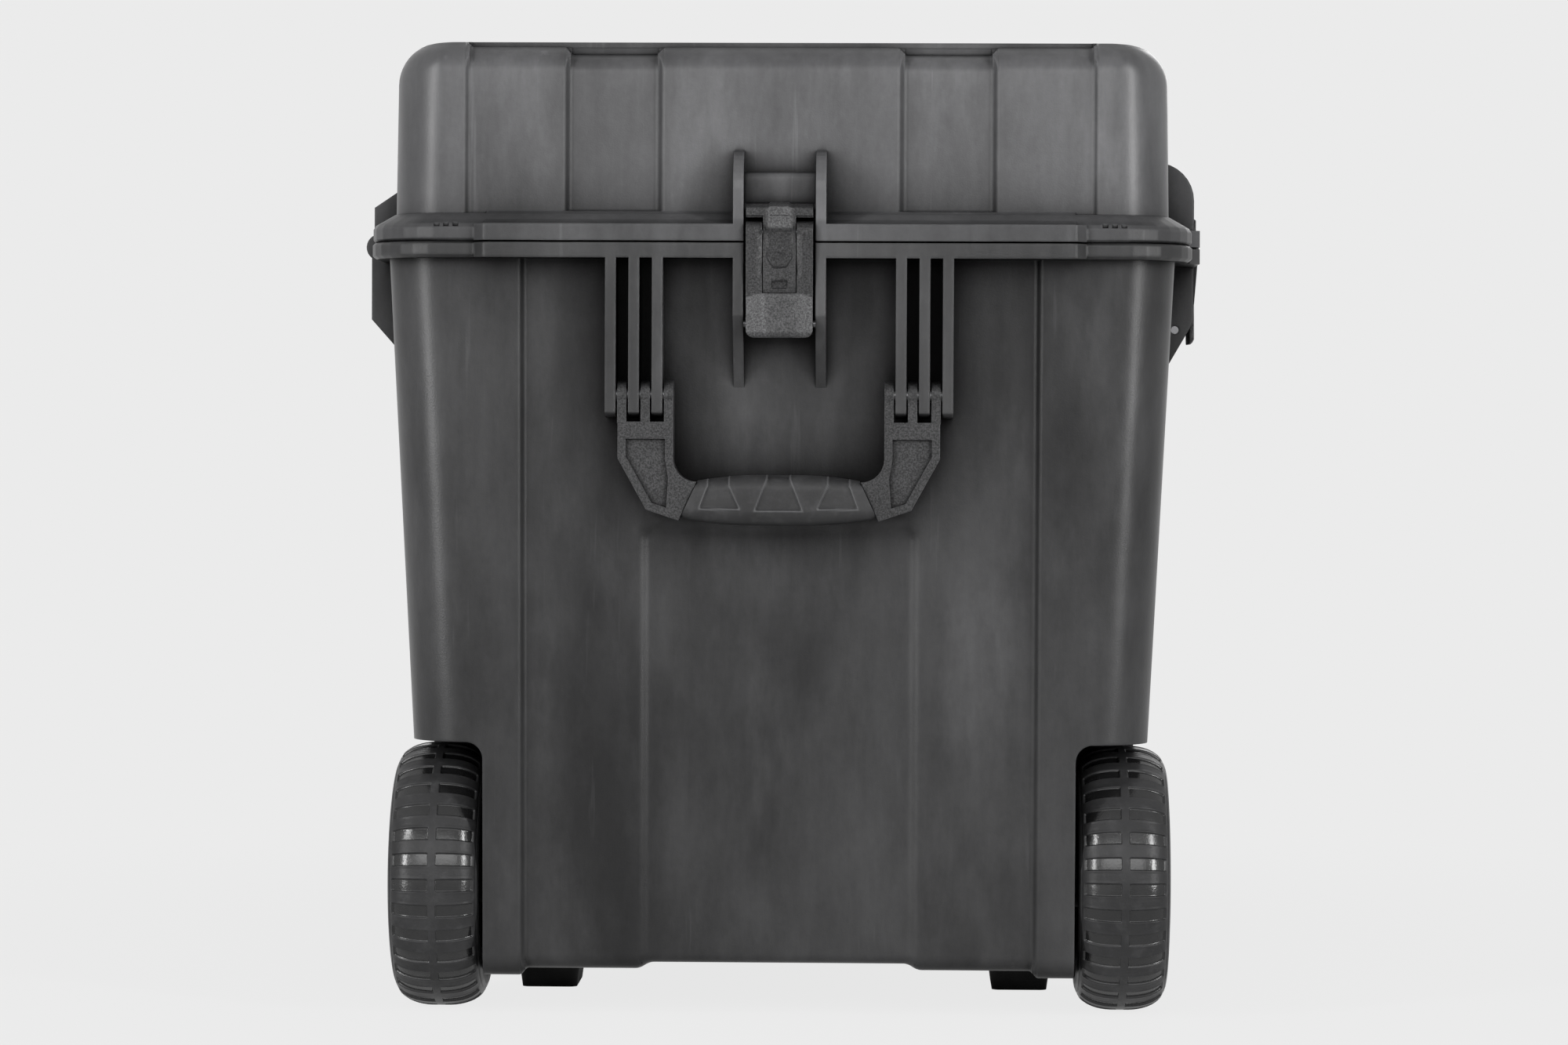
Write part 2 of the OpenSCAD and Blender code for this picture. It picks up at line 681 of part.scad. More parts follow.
module axle_washers() {
  color(steel) for (s = [-1, 1]) mirror([s < 0 ? 1 : 0, 0, 0]) difference() {
    rod_x(well_in_x, well_in_x + well_side_gap - skin_gap, axle_y, wheel_d / 2, axle_d);
    rod_x(0, far, axle_y, wheel_d / 2, axle_d / 2 + run_gap);
  }
}

// Places a wheel piece: its own axis is Z, with Z pointing out of the case.
module at_wheel(s) {
  translate([s * wheel_in_x, axle_y, wheel_d / 2]) rotate([0, 90 * s, 0]) children();
}

// Half profile of the tyre, radius against width.
function tyre_curve(r_in, n = 16) =
  [for (i = [0:n]) let (a = 180 * i / n, c = cos(a), k = sin(a))
    [r_in + tyre_t * pow(k, 0.72), tyre_w / 2 - tyre_w / 2 * sign(c) * pow(abs(c), 0.8)]];

module tyre() {
  r_in = wheel_d / 2 - tyre_t;
  color(dark_grey) difference() {
    rotate_extrude($fn = 96) polygon(concat(tyre_curve(r_in), [[r_in - 4, tyre_w - 6], [r_in - 4, 6]]));
    translate([0, 0, tyre_w / 2]) for (i = [0:tread_rows - 1], s = [-1, 1]) rotate([0, 0, 360 * i / tread_rows])
      translate([wheel_d / 2 - 2 * tread_depth, -tread_l / 2, s > 0 ? tread_mid : -tread_mid - tread_w])
        cube([8, tread_l, tread_w]);
  }
}

module rim() {
  r = wheel_d / 2 - tyre_t - 4;
  color(trim_grey) rotate_extrude($fn = 96) difference() {
    union() {
      translate([r - 4, 4]) square([4, tyre_w - 8]);
      translate([axle_d / 2 + bush_t, 0]) square([hub_d / 2 - axle_d / 2 - bush_t, tyre_w - hub_inset]);
      translate([hub_d / 2 - 1, web_z]) square([r - hub_d / 2, rib_t]);
    }
    translate([0, tyre_w - hub_inset]) square([far, far]);
  }
  color(trim_grey) for (i = [0:spoke_count - 1]) rotate([0, 0, 360 * i / spoke_count])
    translate([hub_d / 2 - 1, -rib_t / 2, web_z]) cube([r - hub_d / 2 - 1, rib_t, tyre_w - 2 * hub_inset - web_z]);
}

module left_tyre() at_wheel(-1) tyre();
module right_tyre() at_wheel(1) tyre();
module left_rim() at_wheel(-1) rim();
module right_rim() at_wheel(1) rim();

module bushes(s) {
  color("black") at_wheel(s) for (z = [0, tyre_w - hub_inset - bush_l]) translate([0, 0, z]) difference() {
    cylinder(r = axle_d / 2 + bush_t, h = bush_l);
    translate([0, 0, -1]) cylinder(r = axle_d / 2 + run_gap, h = bush_l + 2);
  }
}
module left_bushes() bushes(-1);
module right_bushes() bushes(1);

module hub_cap(s) {
  color(dark_grey) at_wheel(s) translate([0, 0, tyre_w - hub_inset]) difference() {
    cylinder(r = hub_d / 2, h = 8);
    translate([0, 0, -1]) cylinder(r = axle_d / 2 + 5, h = 7);
  }
}
module left_hub_cap() hub_cap(-1);
module right_hub_cap() hub_cap(1);

// The valve stands square to the drafted side wall, with Z pointing out of the case.
module at_valve() {
  on_side(right) translate([0, body_face(valve_z), valve_z]) rotate([90 + body_draft, 0, 0]) children();
}

module valve_body() {
  color(dark_grey) at_valve() {
    translate([0, 0, 0.2]) cylinder(d = valve_d, h = valve_t);
    translate([0, 0, -wall - 12]) cylinder(d = valve_stem_d, h = wall + 13);
  }
}
module valve_cap() {
  color(trim_grey) at_valve() translate([0, 0, valve_t + 0.2])
    difference() {
      cylinder(d = valve_d - 6, h = 7);
      for (a = [0:30:330]) rotate(a) translate([valve_d / 2 - 3, 0, -1]) cylinder(r = 1.6, h = 9);
    }
}
module valve_nut() {
  color(dark_grey) at_valve() translate([0, 0, -wall - skin_gap - valve_nut_t])
    difference() {
      cylinder(d = valve_d - 4, h = valve_nut_t, $fn = 6);
      translate([0, 0, -1]) cylinder(d = valve_stem_d + 2 * run_gap, h = 8);
    }
}

module hinge_pin(y) {
  color(steel) on_side(left, y) rod_x(-hinge_half, hinge_half, hinge_y, parting_z, hinge_pin_d / 2);
}
module hinge_pin_front() hinge_pin(hinge_at);
module hinge_pin_rear() hinge_pin(-hinge_at);

module handle_pins(side) {
  color(steel) on_side(side) for (s = [-1, 1])
    rod_x(min(s * pin_in, s * pin_out), max(s * pin_in, s * pin_out), tine_r, grip_pivot_z, grip_pin_d / 2);
}
module front_handle_pins() handle_pins(front);
module rear_handle_pins() handle_pins(rear);

module latch_body_pin(p) {
  color(steel) on_side(p[0], p[1]) rod_x(-rib_out, rib_out, low_pivot_y, low_pivot_z, low_pin_d / 2);
}
module front_latch_body_pin() latch_body_pin(latch_places[0]);
module rear_latch_body_pin() latch_body_pin(latch_places[1]);
module side_latch_body_pin_front() latch_body_pin(latch_places[2]);
module side_latch_body_pin_rear() latch_body_pin(latch_places[3]);

module latch_hook(p) {
  half = latch_w / 2;
  bar_z = latch_top_z - 7;
  color(trim_grey) on_side(p[0], p[1]) difference() {
    union() {
      along_x(-half, half) polygon([[-latch_proud, bar_z + 1], [-latch_proud + 0.4, latch_top_z - 2], [2, latch_top_z],
        [catch_y - 0.4, latch_top_z], [catch_y - 0.4, bar_z], [-latch_proud + 0.6, bar_z]]);
      along_x(-stem_half, stem_half) polygon([[0, tab_top_z - 4], [-latch_proud, tab_top_z + 6], [-latch_proud, bar_z + 1],
        [low_pivot_y + 1, bar_z + 1], [low_pivot_y + 1, tab_top_z - 4]]);
      along_x(-half, half) polygon([[tab_inner_y + 0.8, low_pivot_z], [tab_inner_y + 0.8, tab_top_z - 1],
        [low_pivot_y + 1, tab_top_z - 1], [low_pivot_y + 5, low_pivot_z]]);
      rod_x(-half, half, low_pivot_y, low_pivot_z, low_pin_d / 2 + 3.5);
    }
    rod_x(-far, far, low_pivot_y, low_pivot_z, low_pin_d / 2 + run_gap);
    rod_x(-far, far, top_pivot_y, top_pivot_z, top_pin_d / 2 + run_gap);
    along_x(-far, far) polygon([[-far, tab_top_z + 0.4], [tab_inner_y + 0.6, tab_top_z + 0.4],
      [tab_inner_y + 0.6, 0], [-far, 0]]);
  }
}

module latch_lever(p) {
  half = latch_w / 2;
  arm_r = 7;
  color(dark_grey) on_side(p[0], p[1]) difference() {
    union() {
      for (s = [-1, 1]) along_x(s > 0 ? stem_half + 0.5 : -half, s > 0 ? half : -stem_half - 0.5) {
        translate([top_pivot_y, top_pivot_z]) circle(arm_r);
        polygon([[top_pivot_y - arm_r, top_pivot_z], [-latch_proud + 0.3, tab_top_z - 2], [tab_inner_y, tab_top_z - 2],
          [tab_inner_y + 4, tab_top_z + 3], [top_pivot_y + arm_r - 1.5, top_pivot_z]]);
      }
      along_x(-half, half) polygon([[-latch_proud + 0.3, tab_top_z], [-latch_proud, tab_z + 3], [-latch_proud + 1.2, tab_z],
        [tab_inner_y - 0.8, tab_z], [tab_inner_y, tab_z + 4], [tab_inner_y, tab_top_z]]);
    }
    rod_x(-far, far, top_pivot_y, top_pivot_z, top_pin_d / 2 + 0.02);
  }
}

module latch_lever_pin(p) {
  half = latch_w / 2;
  color(steel) on_side(p[0], p[1]) rod_x(-half + 0.5, half - 0.5, top_pivot_y, top_pivot_z, top_pin_d / 2);
}

module front_latch_hook() latch_hook(latch_places[0]);
module rear_latch_hook() latch_hook(latch_places[1]);
module side_latch_front_hook() latch_hook(latch_places[2]);
module side_latch_rear_hook() latch_hook(latch_places[3]);
module front_latch_lever() latch_lever(latch_places[0]);
module rear_latch_lever() latch_lever(latch_places[1]);
module side_latch_front_lever() latch_lever(latch_places[2]);
module side_latch_rear_lever() latch_lever(latch_places[3]);
module front_latch_lever_pin() latch_lever_pin(latch_places[0]);
module rear_latch_lever_pin() latch_lever_pin(latch_places[1]);
module side_latch_front_lever_pin() latch_lever_pin(latch_places[2]);
module side_latch_rear_lever_pin() latch_lever_pin(latch_places[3]);

// The slanted seam between an arm and the grip: how far out it lies at the height z.
function seam_x(z) = grip_half - seam_run * (z - seam_low_z) / (knee_z - bend_r - seam_low_z);

module handle_frame(side) {
  arm_out = tine_x + arm_w;
  bar_z = grip_pivot_z - 16.5;
  core_z = grip_bottom_z + grip_h / 2;
  color(trim_grey) on_side(side) difference() {
    union() {
      for (s = [-1, 1]) scale([s, 1, 1]) {
        for (i = [0:2]) along_x(tine_x + i * tine_pitch, tine_x + i * tine_pitch + tine_t) {
          translate([tine_r, grip_pivot_z]) circle(tine_r);
          translate([0.5, bar_z - 1]) square([frame_t, grip_pivot_z - bar_z + 1]);
        }
        along_y(0.5, 0.5 + frame_t) polygon(concat([[tine_x, bar_z], [arm_out, bar_z], [arm_out, knee_z],
          [arm_out - 17.5, grip_bottom_z + 9.5], [seam_x(seam_low_z), seam_low_z]],
          arc(tine_x - bend_r, knee_z, bend_r, -90, 0, 8)));
      }
      along_x(-grip_half, grip_half) translate([0.5 + frame_t / 2 - core_half, core_z - core_half]) square(2 * core_half);
    }
    for (s = [-1, 1]) scale([s, 1, 1]) {
      rod_x(tine_x - 1, arm_out + 1, tine_r, grip_pivot_z, grip_pin_d / 2 + run_gap);
      along_y(-5, 2.5) offset(delta = -5) polygon([[tine_x, bar_z - 5.5], [arm_out, bar_z - 5.5], [arm_out, knee_z],
          [arm_out - 17.5, grip_bottom_z + 9.5], [grip_half + 3, grip_bottom_z + 4], [tine_x - 2, knee_z - 12],
          [tine_x, knee_z]]);
    }
  }
}

// The rubber grip: a bar of rounded section, crowned in the middle and cut by the slanted seams.
module handle_grip(side) {
  mid_y = 0.5 + frame_t / 2;
  mid_z = grip_bottom_z + grip_h / 2;
  color(dark_grey) on_side(side) difference() {
    hull() for (p = [[-grip_half, 3, 1.6], [-26, 0.4, 0.3], [26, 0.4, 0.3], [grip_half, 3, 1.6]])
      translate([p[0], mid_y, mid_z]) rotate([90, 0, 90])
        linear_extrude(1, center = true) round_plan(grip_depth / 2 - p[1], grip_h / 2 - p[2], 9);
    along_x(-far, far) translate([mid_y - core_half - 0.1, mid_z - core_half - 0.1]) square(2 * core_half + 0.2);
    for (s = [-1, 1]) scale([s, 1, 1]) along_y(-far, far)
      polygon([[seam_x(-far) - post_t, -far], [seam_x(far) - post_t, far], [3 * far, far], [3 * far, -far]]);
  }
}

module front_handle_frame() handle_frame(front);
module rear_handle_frame() handle_frame(rear);
module front_handle_grip() handle_grip(front);
module rear_handle_grip() handle_grip(rear);

body_shell();
foot_front_left();
foot_front_right();
foot_rear_left();
foot_rear_right();
foot_screws();
left_axle_bolt();
right_axle_bolt();
axle_nuts();
axle_washers();
valve_body();
valve_cap();
valve_nut();
hinge_pin_front();
hinge_pin_rear();
front_handle_pins();
rear_handle_pins();
front_latch_body_pin();
rear_latch_body_pin();
side_latch_body_pin_front();
side_latch_body_pin_rear();
lid_shell();
lid_gasket();
front_latch_hook();
front_latch_lever();
front_latch_lever_pin();
rear_latch_hook();
rear_latch_lever();
rear_latch_lever_pin();
side_latch_front_hook();
side_latch_front_lever();
side_latch_front_lever_pin();
side_latch_rear_hook();
side_latch_rear_lever();
side_latch_rear_lever_pin();
front_handle_frame();
front_handle_grip();
rear_handle_frame();
rear_handle_grip();
left_tyre();
left_rim();
left_bushes();
left_hub_cap();
right_tyre();
right_rim();
right_bushes();
right_hub_cap();
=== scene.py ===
"""Looks of a wheeled hard case: studio, camera, materials and detailed pieces around the CAD frame.

Shapes are worked out in millimetres and placed in metres. The latch end that the photograph shows
faces -Y, and the hinges are on -X.
"""
import json
import math

import bmesh
import bpy
import numpy as np
from mathutils import Matrix, Vector


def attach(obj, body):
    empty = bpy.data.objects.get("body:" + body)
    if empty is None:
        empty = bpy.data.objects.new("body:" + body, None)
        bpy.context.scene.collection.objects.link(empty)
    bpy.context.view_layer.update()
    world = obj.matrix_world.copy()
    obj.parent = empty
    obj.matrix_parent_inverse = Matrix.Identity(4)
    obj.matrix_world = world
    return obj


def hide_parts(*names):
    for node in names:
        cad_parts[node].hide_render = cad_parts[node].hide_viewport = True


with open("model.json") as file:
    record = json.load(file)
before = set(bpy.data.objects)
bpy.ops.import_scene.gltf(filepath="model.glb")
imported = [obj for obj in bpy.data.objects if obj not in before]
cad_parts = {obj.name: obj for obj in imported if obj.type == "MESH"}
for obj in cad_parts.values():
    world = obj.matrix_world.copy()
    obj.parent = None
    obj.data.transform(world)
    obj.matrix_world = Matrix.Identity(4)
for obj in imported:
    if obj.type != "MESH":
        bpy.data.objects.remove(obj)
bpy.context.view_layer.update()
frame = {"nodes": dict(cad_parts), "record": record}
scene = bpy.context.scene
MM = 0.001

# Camera, at the photograph's viewing angle
CAMERA_AT = (0.07, -3.145, 0.3675)
LENS_MM = 104.4
SENSOR_MM = 36.0
CLIP_END_M = 50.0
PITCH_DOWN = math.radians(1.15)
YAW_LEFT = math.radians(1.366)
ROLL = math.radians(0.25)

# Studio
BACKGROUND = 0.831                 # the photograph's pale ground, as linear light
FILL_LEVEL = 0.26                  # the world's own light on the object
FLOOR_HALF_M = 6.0
GLOW_FADE_M = (0.35, 1.1)          # from here to there, the floor's glow takes over from its shading
GLOW_NEAR = 0.95                   # share of the glow close to the case, where the shadow falls
LIGHTS = (                         # name, place, aim, width and height in metres, watts
    ("front_soft", (0.0, -3.4, 1.5), (0, 0, 1.5), (3.2, 1.4), 66),
    ("left_strip", (-1.9, -1.85, 0.9), (0, -0.2, 0.5), (0.22, 2.0), 60),
    ("right_strip", (1.9, -1.85, 0.9), (0, -0.2, 0.5), (0.22, 2.0), 60),
    ("back_soft", (0.3, 3.2, 1.6), (0, 0, 0.3), (2.6, 1.6), 34),
)


def add_object(name, data):
    thing = bpy.data.objects.new(name, data)
    scene.collection.objects.link(thing)
    return thing


class Net:
    """A short way to build a node tree."""

    def __init__(self, owner):
        owner.use_nodes = True
        self.tree = owner.node_tree

    def feed(self, node, inputs):
        """Gives each named or numbered input a value, or the output of another node."""
        for key, value in inputs.items():
            if isinstance(value, bpy.types.NodeSocket):
                self.tree.links.new(value, node.inputs[key])
            else:
                node.inputs[key].default_value = value

    def add(self, kind, inputs=None, **settings):
        node = self.tree.nodes.new(kind)
        for key, value in settings.items():
            setattr(node, key, value)
        self.feed(node, inputs or {})
        return node

    def math(self, operation, a, b):
        return self.add("ShaderNodeMath", {0: a, 1: b}, operation=operation).outputs[0]

    def times(self, product, *factors):
        for factor in factors:
            product = self.math("MULTIPLY", product, factor)
        return product

    def plus(self, total, *terms):
        for term in terms:
            total = self.math("ADD", total, term)
        return total

    def span(self, value, low, high, to_low, to_high, smooth=False):
        """Carries a value from one range over to another, and holds it at both ends."""
        inputs = {"Value": value, "From Min": low, "From Max": high, "To Min": to_low, "To Max": to_high}
        kind = "SMOOTHSTEP" if smooth else "LINEAR"
        return self.add("ShaderNodeMapRange", inputs, interpolation_type=kind).outputs[0]

    def sees_ground(self):
        """1 for the rays that show the pale ground itself: camera, glossy and transmission rays."""
        rays = self.add("ShaderNodeLightPath").outputs
        seen = self.math("MAXIMUM", rays["Is Camera Ray"], rays["Is Glossy Ray"])
        return self.math("MAXIMUM", seen, rays["Is Transmission Ray"])


def make_camera():
    data = bpy.data.cameras.new("camera")
    data.lens = LENS_MM
    data.sensor_width = SENSOR_MM
    data.sensor_fit = "HORIZONTAL"
    data.clip_end = CLIP_END_M
    camera = add_object("camera", data)
    turn = (Matrix.Rotation(YAW_LEFT, 4, "Z") @ Matrix.Rotation(math.pi / 2 - PITCH_DOWN, 4, "X")
            @ Matrix.Rotation(ROLL, 4, "Z"))
    camera.matrix_world = Matrix.Translation(CAMERA_AT) @ turn
    scene.camera = camera


def make_world():
    world = bpy.data.worlds.new("studio")
    scene.world = world
    net = Net(world)
    net.tree.nodes.clear()
    fill, shown = [net.add("ShaderNodeBackground", {"Color": (1, 1, 1, 1), "Strength": level}).outputs[0]
                   for level in (FILL_LEVEL, BACKGROUND)]
    mix = net.add("ShaderNodeMixShader", {0: net.sees_ground(), 1: fill, 2: shown})
    net.add("ShaderNodeOutputWorld", {"Surface": mix.outputs[0]})


def make_light(name, at, aim, size, watts):
    data = bpy.data.lights.new(name, "AREA")
    data.shape = "RECTANGLE"
    data.size, data.size_y = size
    data.energy = watts
    lamp = add_object(name, data)
    lamp.location = at
    lamp.rotation_euler = (Vector(aim) - Vector(at)).to_track_quat("-Z", "Y").to_euler()


def make_floor():
    h = FLOOR_HALF_M
    mesh = bpy.data.meshes.new("floor")
    mesh.from_pydata([(-h, -h, 0), (h, -h, 0), (h, h, 0), (-h, h, 0)], [], [(0, 1, 2, 3)])
    material = bpy.data.materials.new("floor")
    mesh.materials.append(material)
    net = Net(material)
    net.tree.nodes.clear()
    ground = (BACKGROUND, BACKGROUND, BACKGROUND, 1)
    pale = net.add("ShaderNodeBsdfDiffuse", {"Color": ground}).outputs[0]
    glow = net.add("ShaderNodeEmission", {"Color": ground}).outputs[0]
    place = net.add("ShaderNodeNewGeometry").outputs["Position"]
    away = net.add("ShaderNodeVectorMath", {0: place}, operation="LENGTH").outputs["Value"]
    share = net.times(net.sees_ground(), net.span(away, *GLOW_FADE_M, GLOW_NEAR, 1.0, smooth=True))
    mix = net.add("ShaderNodeMixShader", {0: share, 1: pale, 2: glow})
    net.add("ShaderNodeOutputMaterial", {"Surface": mix.outputs[0]})
    add_object("floor", mesh)


# Materials. A grain is the scale, detail and roughness of a noise; lengths are in metres.
SPARKED = (950.0, 3.0, 0.6)        # the latches' and handles' rough mould texture
FINE = (900.0, 2.0, 0.5)           # the plastic's and the steel's own grain
PAINTED_TOP_SHADE = (0.8, 0.97)               # how far a face looks up where the lid's top turns duller: painted shade, less gloss and more roughness on faces that look up
PLASTIC_SPECULAR = 0.22
GRIP_SPECULAR = 0.22
FOOT_SPECULAR = 0.2
SEAL_SPECULAR = 0.5
STEEL_SPECULAR = 0.5


class Surface(Net):
    """The node tree of a new material, around its Principled shader."""

    def __init__(self, name):
        self.material = bpy.data.materials.new(name)
        super().__init__(self.material)
        self.shader = next(n for n in self.tree.nodes if n.type == "BSDF_PRINCIPLED")
        self.place = self.add("ShaderNodeTexCoord").outputs["Object"]

    def noise(self, grain, stretch=(1, 1, 1), turn=(0, 0, 0)):
        """A noise in the object's own frame. A stretch below 1 draws it out along that axis."""
        scale, detail, rough = grain
        at = self.add("ShaderNodeMapping", {"Vector": self.place, "Scale": stretch, "Rotation": turn})
        inputs = {"Vector": at.outputs[0], "Scale": scale, "Detail": detail, "Roughness": rough}
        return self.add("ShaderNodeTexNoise", inputs).outputs["Fac"]

    def mottle(self, grain, cut, between, stretch=(1, 1, 1), turn=(0, 0, 0)):
        """Patches between two values, from the part of a noise's range that cut names."""
        return self.span(self.noise(grain, stretch, turn), *cut, *between)

    def tint(self, colour, factor):
        """The colour times a factor."""
        return self.add("ShaderNodeVectorMath", {0: colour, "Scale": factor}, operation="SCALE").outputs[0]

    def rise(self, vector):
        """The upright part of a place or a normal."""
        return self.add("ShaderNodeSeparateXYZ", {0: vector}).outputs["Z"]

    def facing(self):
        return self.add("ShaderNodeNewGeometry").outputs["Normal"]

    def value(self, attribute):
        """A mesh's own value at each point, 0 where the mesh has none."""
        return self.add("ShaderNodeAttribute", attribute_name=attribute).outputs["Fac"]

    def edge(self, radius):
        """(normal with rounded edges, how close to an edge from 0 to 1)"""
        bevel = self.add("ShaderNodeBevel", {"Radius": radius}, samples=4).outputs[0]
        dot = self.add("ShaderNodeVectorMath", {0: bevel, 1: self.facing()}, operation="DOT_PRODUCT")
        return bevel, self.span(dot.outputs["Value"], 1.0, 0.86, 0.0, 1.0)

    def painted_cavity_shade(self, distance, least):
        """Painted shade: darker where the surface lies in a narrow place, from least to 1."""
        open_sky = self.add("ShaderNodeAmbientOcclusion", {"Distance": distance}, samples=6).outputs["AO"]
        return self.span(open_sky, 0.42, 0.94, least, 1.0)

    def bump(self, height, distance, normal=None):
        inputs = {"Height": height, "Distance": distance, "Strength": 1.0}
        if normal is not None:
            inputs["Normal"] = normal
        return self.add("ShaderNodeBump", inputs).outputs[0]

    def finish(self, colour, factor, rough, specular, normal):
        """Feeds the shader and gives the material."""
        self.feed(self.shader, {"Base Color": self.tint(colour, factor), "Roughness": rough,
                                "Specular IOR Level": specular, "Normal": normal})
        return self.material


def moulded_plastic(name, colour, rough, radius, smear, band=None):
    """Satin plastic with upright smears, wiped patches, scuffs, a fine grain, paler edges that are partly wear
    and partly painted highlight, and painted shade in narrow places.

    band is (low height, high height, share below, share above): a painted shade that scales the colour and the
    gloss over the height.
    """
    net = Surface(name)
    # edges turn paler below: partly wear, partly painted highlight
    smooth, edge_wear_and_highlight = net.edge(radius)
    # painted shade: darker colour and gloss in narrow places
    shade = net.painted_cavity_shade(0.04, 0.12)
    # painted shade: the band darkens the colour and the gloss below its low height
    if band:
        shade = net.times(shade, net.span(net.rise(net.place), *band, smooth=True))
    wiped = (1 - 0.4 * smear, 1 + 0.4 * smear)
    cloud = net.mottle((6.5, 7.0, 0.66), (0.38, 0.62), (1 - smear, 1 + smear), (1, 1, 0.5))
    wipe = net.mottle((16.0, 7.0, 0.68), (0.4, 0.62), wiped, (1, 1, 0.16))
    slant = net.mottle((9.0, 6.0, 0.66), (0.52, 0.66), (1.0, 1 + 1.3 * smear), (1, 1, 0.3), (0.2, 0.75, 0))
    speck = net.mottle((260.0, 2.0, 0.5), (0.3, 0.7), (0.96, 1.04))
    scratch = net.mottle((75.0, 4.0, 0.7), (0.64, 0.7), (0.0, 1.0), (1, 1, 0.03), (0.1, 0.15, 0))
    factor = net.plus(net.times(cloud, wipe, speck, slant), net.times(scratch, 0.4), net.times(edge_wear_and_highlight, 0.5))
    # painted shade: faces that look up get less gloss and more roughness
    upward = net.rise(net.facing())
    dull = net.mottle((8.0, 5.0, 0.65), (0.36, 0.64), (rough - 0.06, rough + 0.08), (1, 1, 0.3))
    gloss = net.mottle((13.0, 6.0, 0.66), (0.36, 0.64), (0.84, 1.16), (1, 1, 0.22))
    gloss = net.times(gloss, net.span(wipe, *wiped, 0.94, 1.06), net.span(upward, *PAINTED_TOP_SHADE, 1.0, 0.35))
    waves = net.bump(net.noise((5.0, 2.0, 0.5)), 0.0022, smooth)
    return net.finish(colour, net.times(factor, shade), net.plus(dull, net.span(upward, *PAINTED_TOP_SHADE, 0.0, 0.3)),
                      net.times(gloss, shade, PLASTIC_SPECULAR), net.bump(net.noise(FINE), 0.00006, waves))


def rough_moulding(name, colour, rough, radius):
    """Sparked mould texture, as on the latch and the handle."""
    net = Surface(name)
    # edges turn paler below: partly wear, partly painted highlight
    smooth, edge_wear_and_highlight = net.edge(radius)
    # painted shade: darker colour and gloss in narrow places
    shade = net.painted_cavity_shade(0.012, 0.2)
    # painted highlight: the mesh's values make the colour paler and the gloss stronger
    painted_highlight = net.value("painted_highlight")
    mottle = net.mottle(SPARKED, (0.36, 0.66), (0.6, 1.6))
    cloud = net.mottle((18.0, 4.0, 0.6), (0.38, 0.62), (0.8, 1.25))
    factor = net.plus(net.times(mottle, cloud), net.times(edge_wear_and_highlight, 0.9), net.times(mottle, painted_highlight))
    gloss = net.mottle(SPARKED, (0.36, 0.66), (0.7 * PLASTIC_SPECULAR, 1.4 * PLASTIC_SPECULAR))
    return net.finish(colour, net.times(factor, shade),
                      net.mottle((300.0, 3.0, 0.6), (0.3, 0.7), (rough - 0.1, rough + 0.1)),
                      net.times(gloss, net.span(painted_highlight, 0.0, 1.0, 1.0, 1.5), shade),
                      net.bump(net.noise(SPARKED), 0.0003, smooth))


def rubber(name, colour, rough, radius, specular, dusty=0.5):
    net = Surface(name)
    # edges turn paler below: partly wear, partly painted highlight
    smooth, edge_wear_and_highlight = net.edge(radius)
    # painted shade: darker colour and gloss in narrow places
    shade = net.painted_cavity_shade(0.012, 0.25)
    cloud = net.mottle((30.0, 5.0, 0.65), (0.3, 0.7), (0.75, 1.3))
    dust = net.mottle((120.0, 5.0, 0.7), (0.5, 0.75), (0.0, dusty))
    # painted highlight: the mesh's values make the colour paler
    factor = net.plus(cloud, dust, net.times(edge_wear_and_highlight, 0.8), net.times(net.value("painted_highlight"), 2.5))
    return net.finish(colour, net.times(factor, shade),
                      net.mottle((60.0, 4.0, 0.6), (0.3, 0.7), (rough - 0.08, rough + 0.12)),
                      net.times(shade, specular), net.bump(net.noise((700.0, 2.0, 0.5)), 0.0001, smooth))


def tread_rubber(name, colour, rough_land, rough_pocket):
    """Tyre rubber: worn satin lands, and glossy pockets where the mesh's pocket value is 1."""
    net = Surface(name)
    pocket = net.value("pocket")
    cloud = net.mottle((26.0, 5.0, 0.65), (0.3, 0.7), (0.75, 1.35))
    dust = net.mottle((110.0, 5.0, 0.7), (0.52, 0.75), (0.0, 0.6))
    factor = net.times(net.plus(cloud, dust), net.span(pocket, 0.0, 1.0, 1.0, 0.35))
    uneven = net.mottle((80.0, 4.0, 0.6), (0.3, 0.7), (-0.05, 0.09))
    return net.finish(colour, factor, net.plus(uneven, net.span(pocket, 0.0, 1.0, rough_land, rough_pocket)),
                      net.span(pocket, 0.0, 1.0, 0.14, 0.46), net.bump(net.noise((800.0, 2.0, 0.5)), 0.00008))


def plated_steel(name):
    net = Surface(name)
    smooth, _ = net.edge(0.0004)
    net.feed(net.shader, {"Metallic": 1.0})
    stain = net.mottle((90.0, 5.0, 0.7), (0.35, 0.7), (0.7, 1.1))
    brushed = net.bump(net.noise(FINE, (1, 0.05, 1)), 0.00003, smooth)
    return net.finish((0.16, 0.16, 0.165), stain, net.mottle((150.0, 3.0, 0.6), (0.3, 0.7), (0.28, 0.45)),
                      STEEL_SPECULAR, brushed)


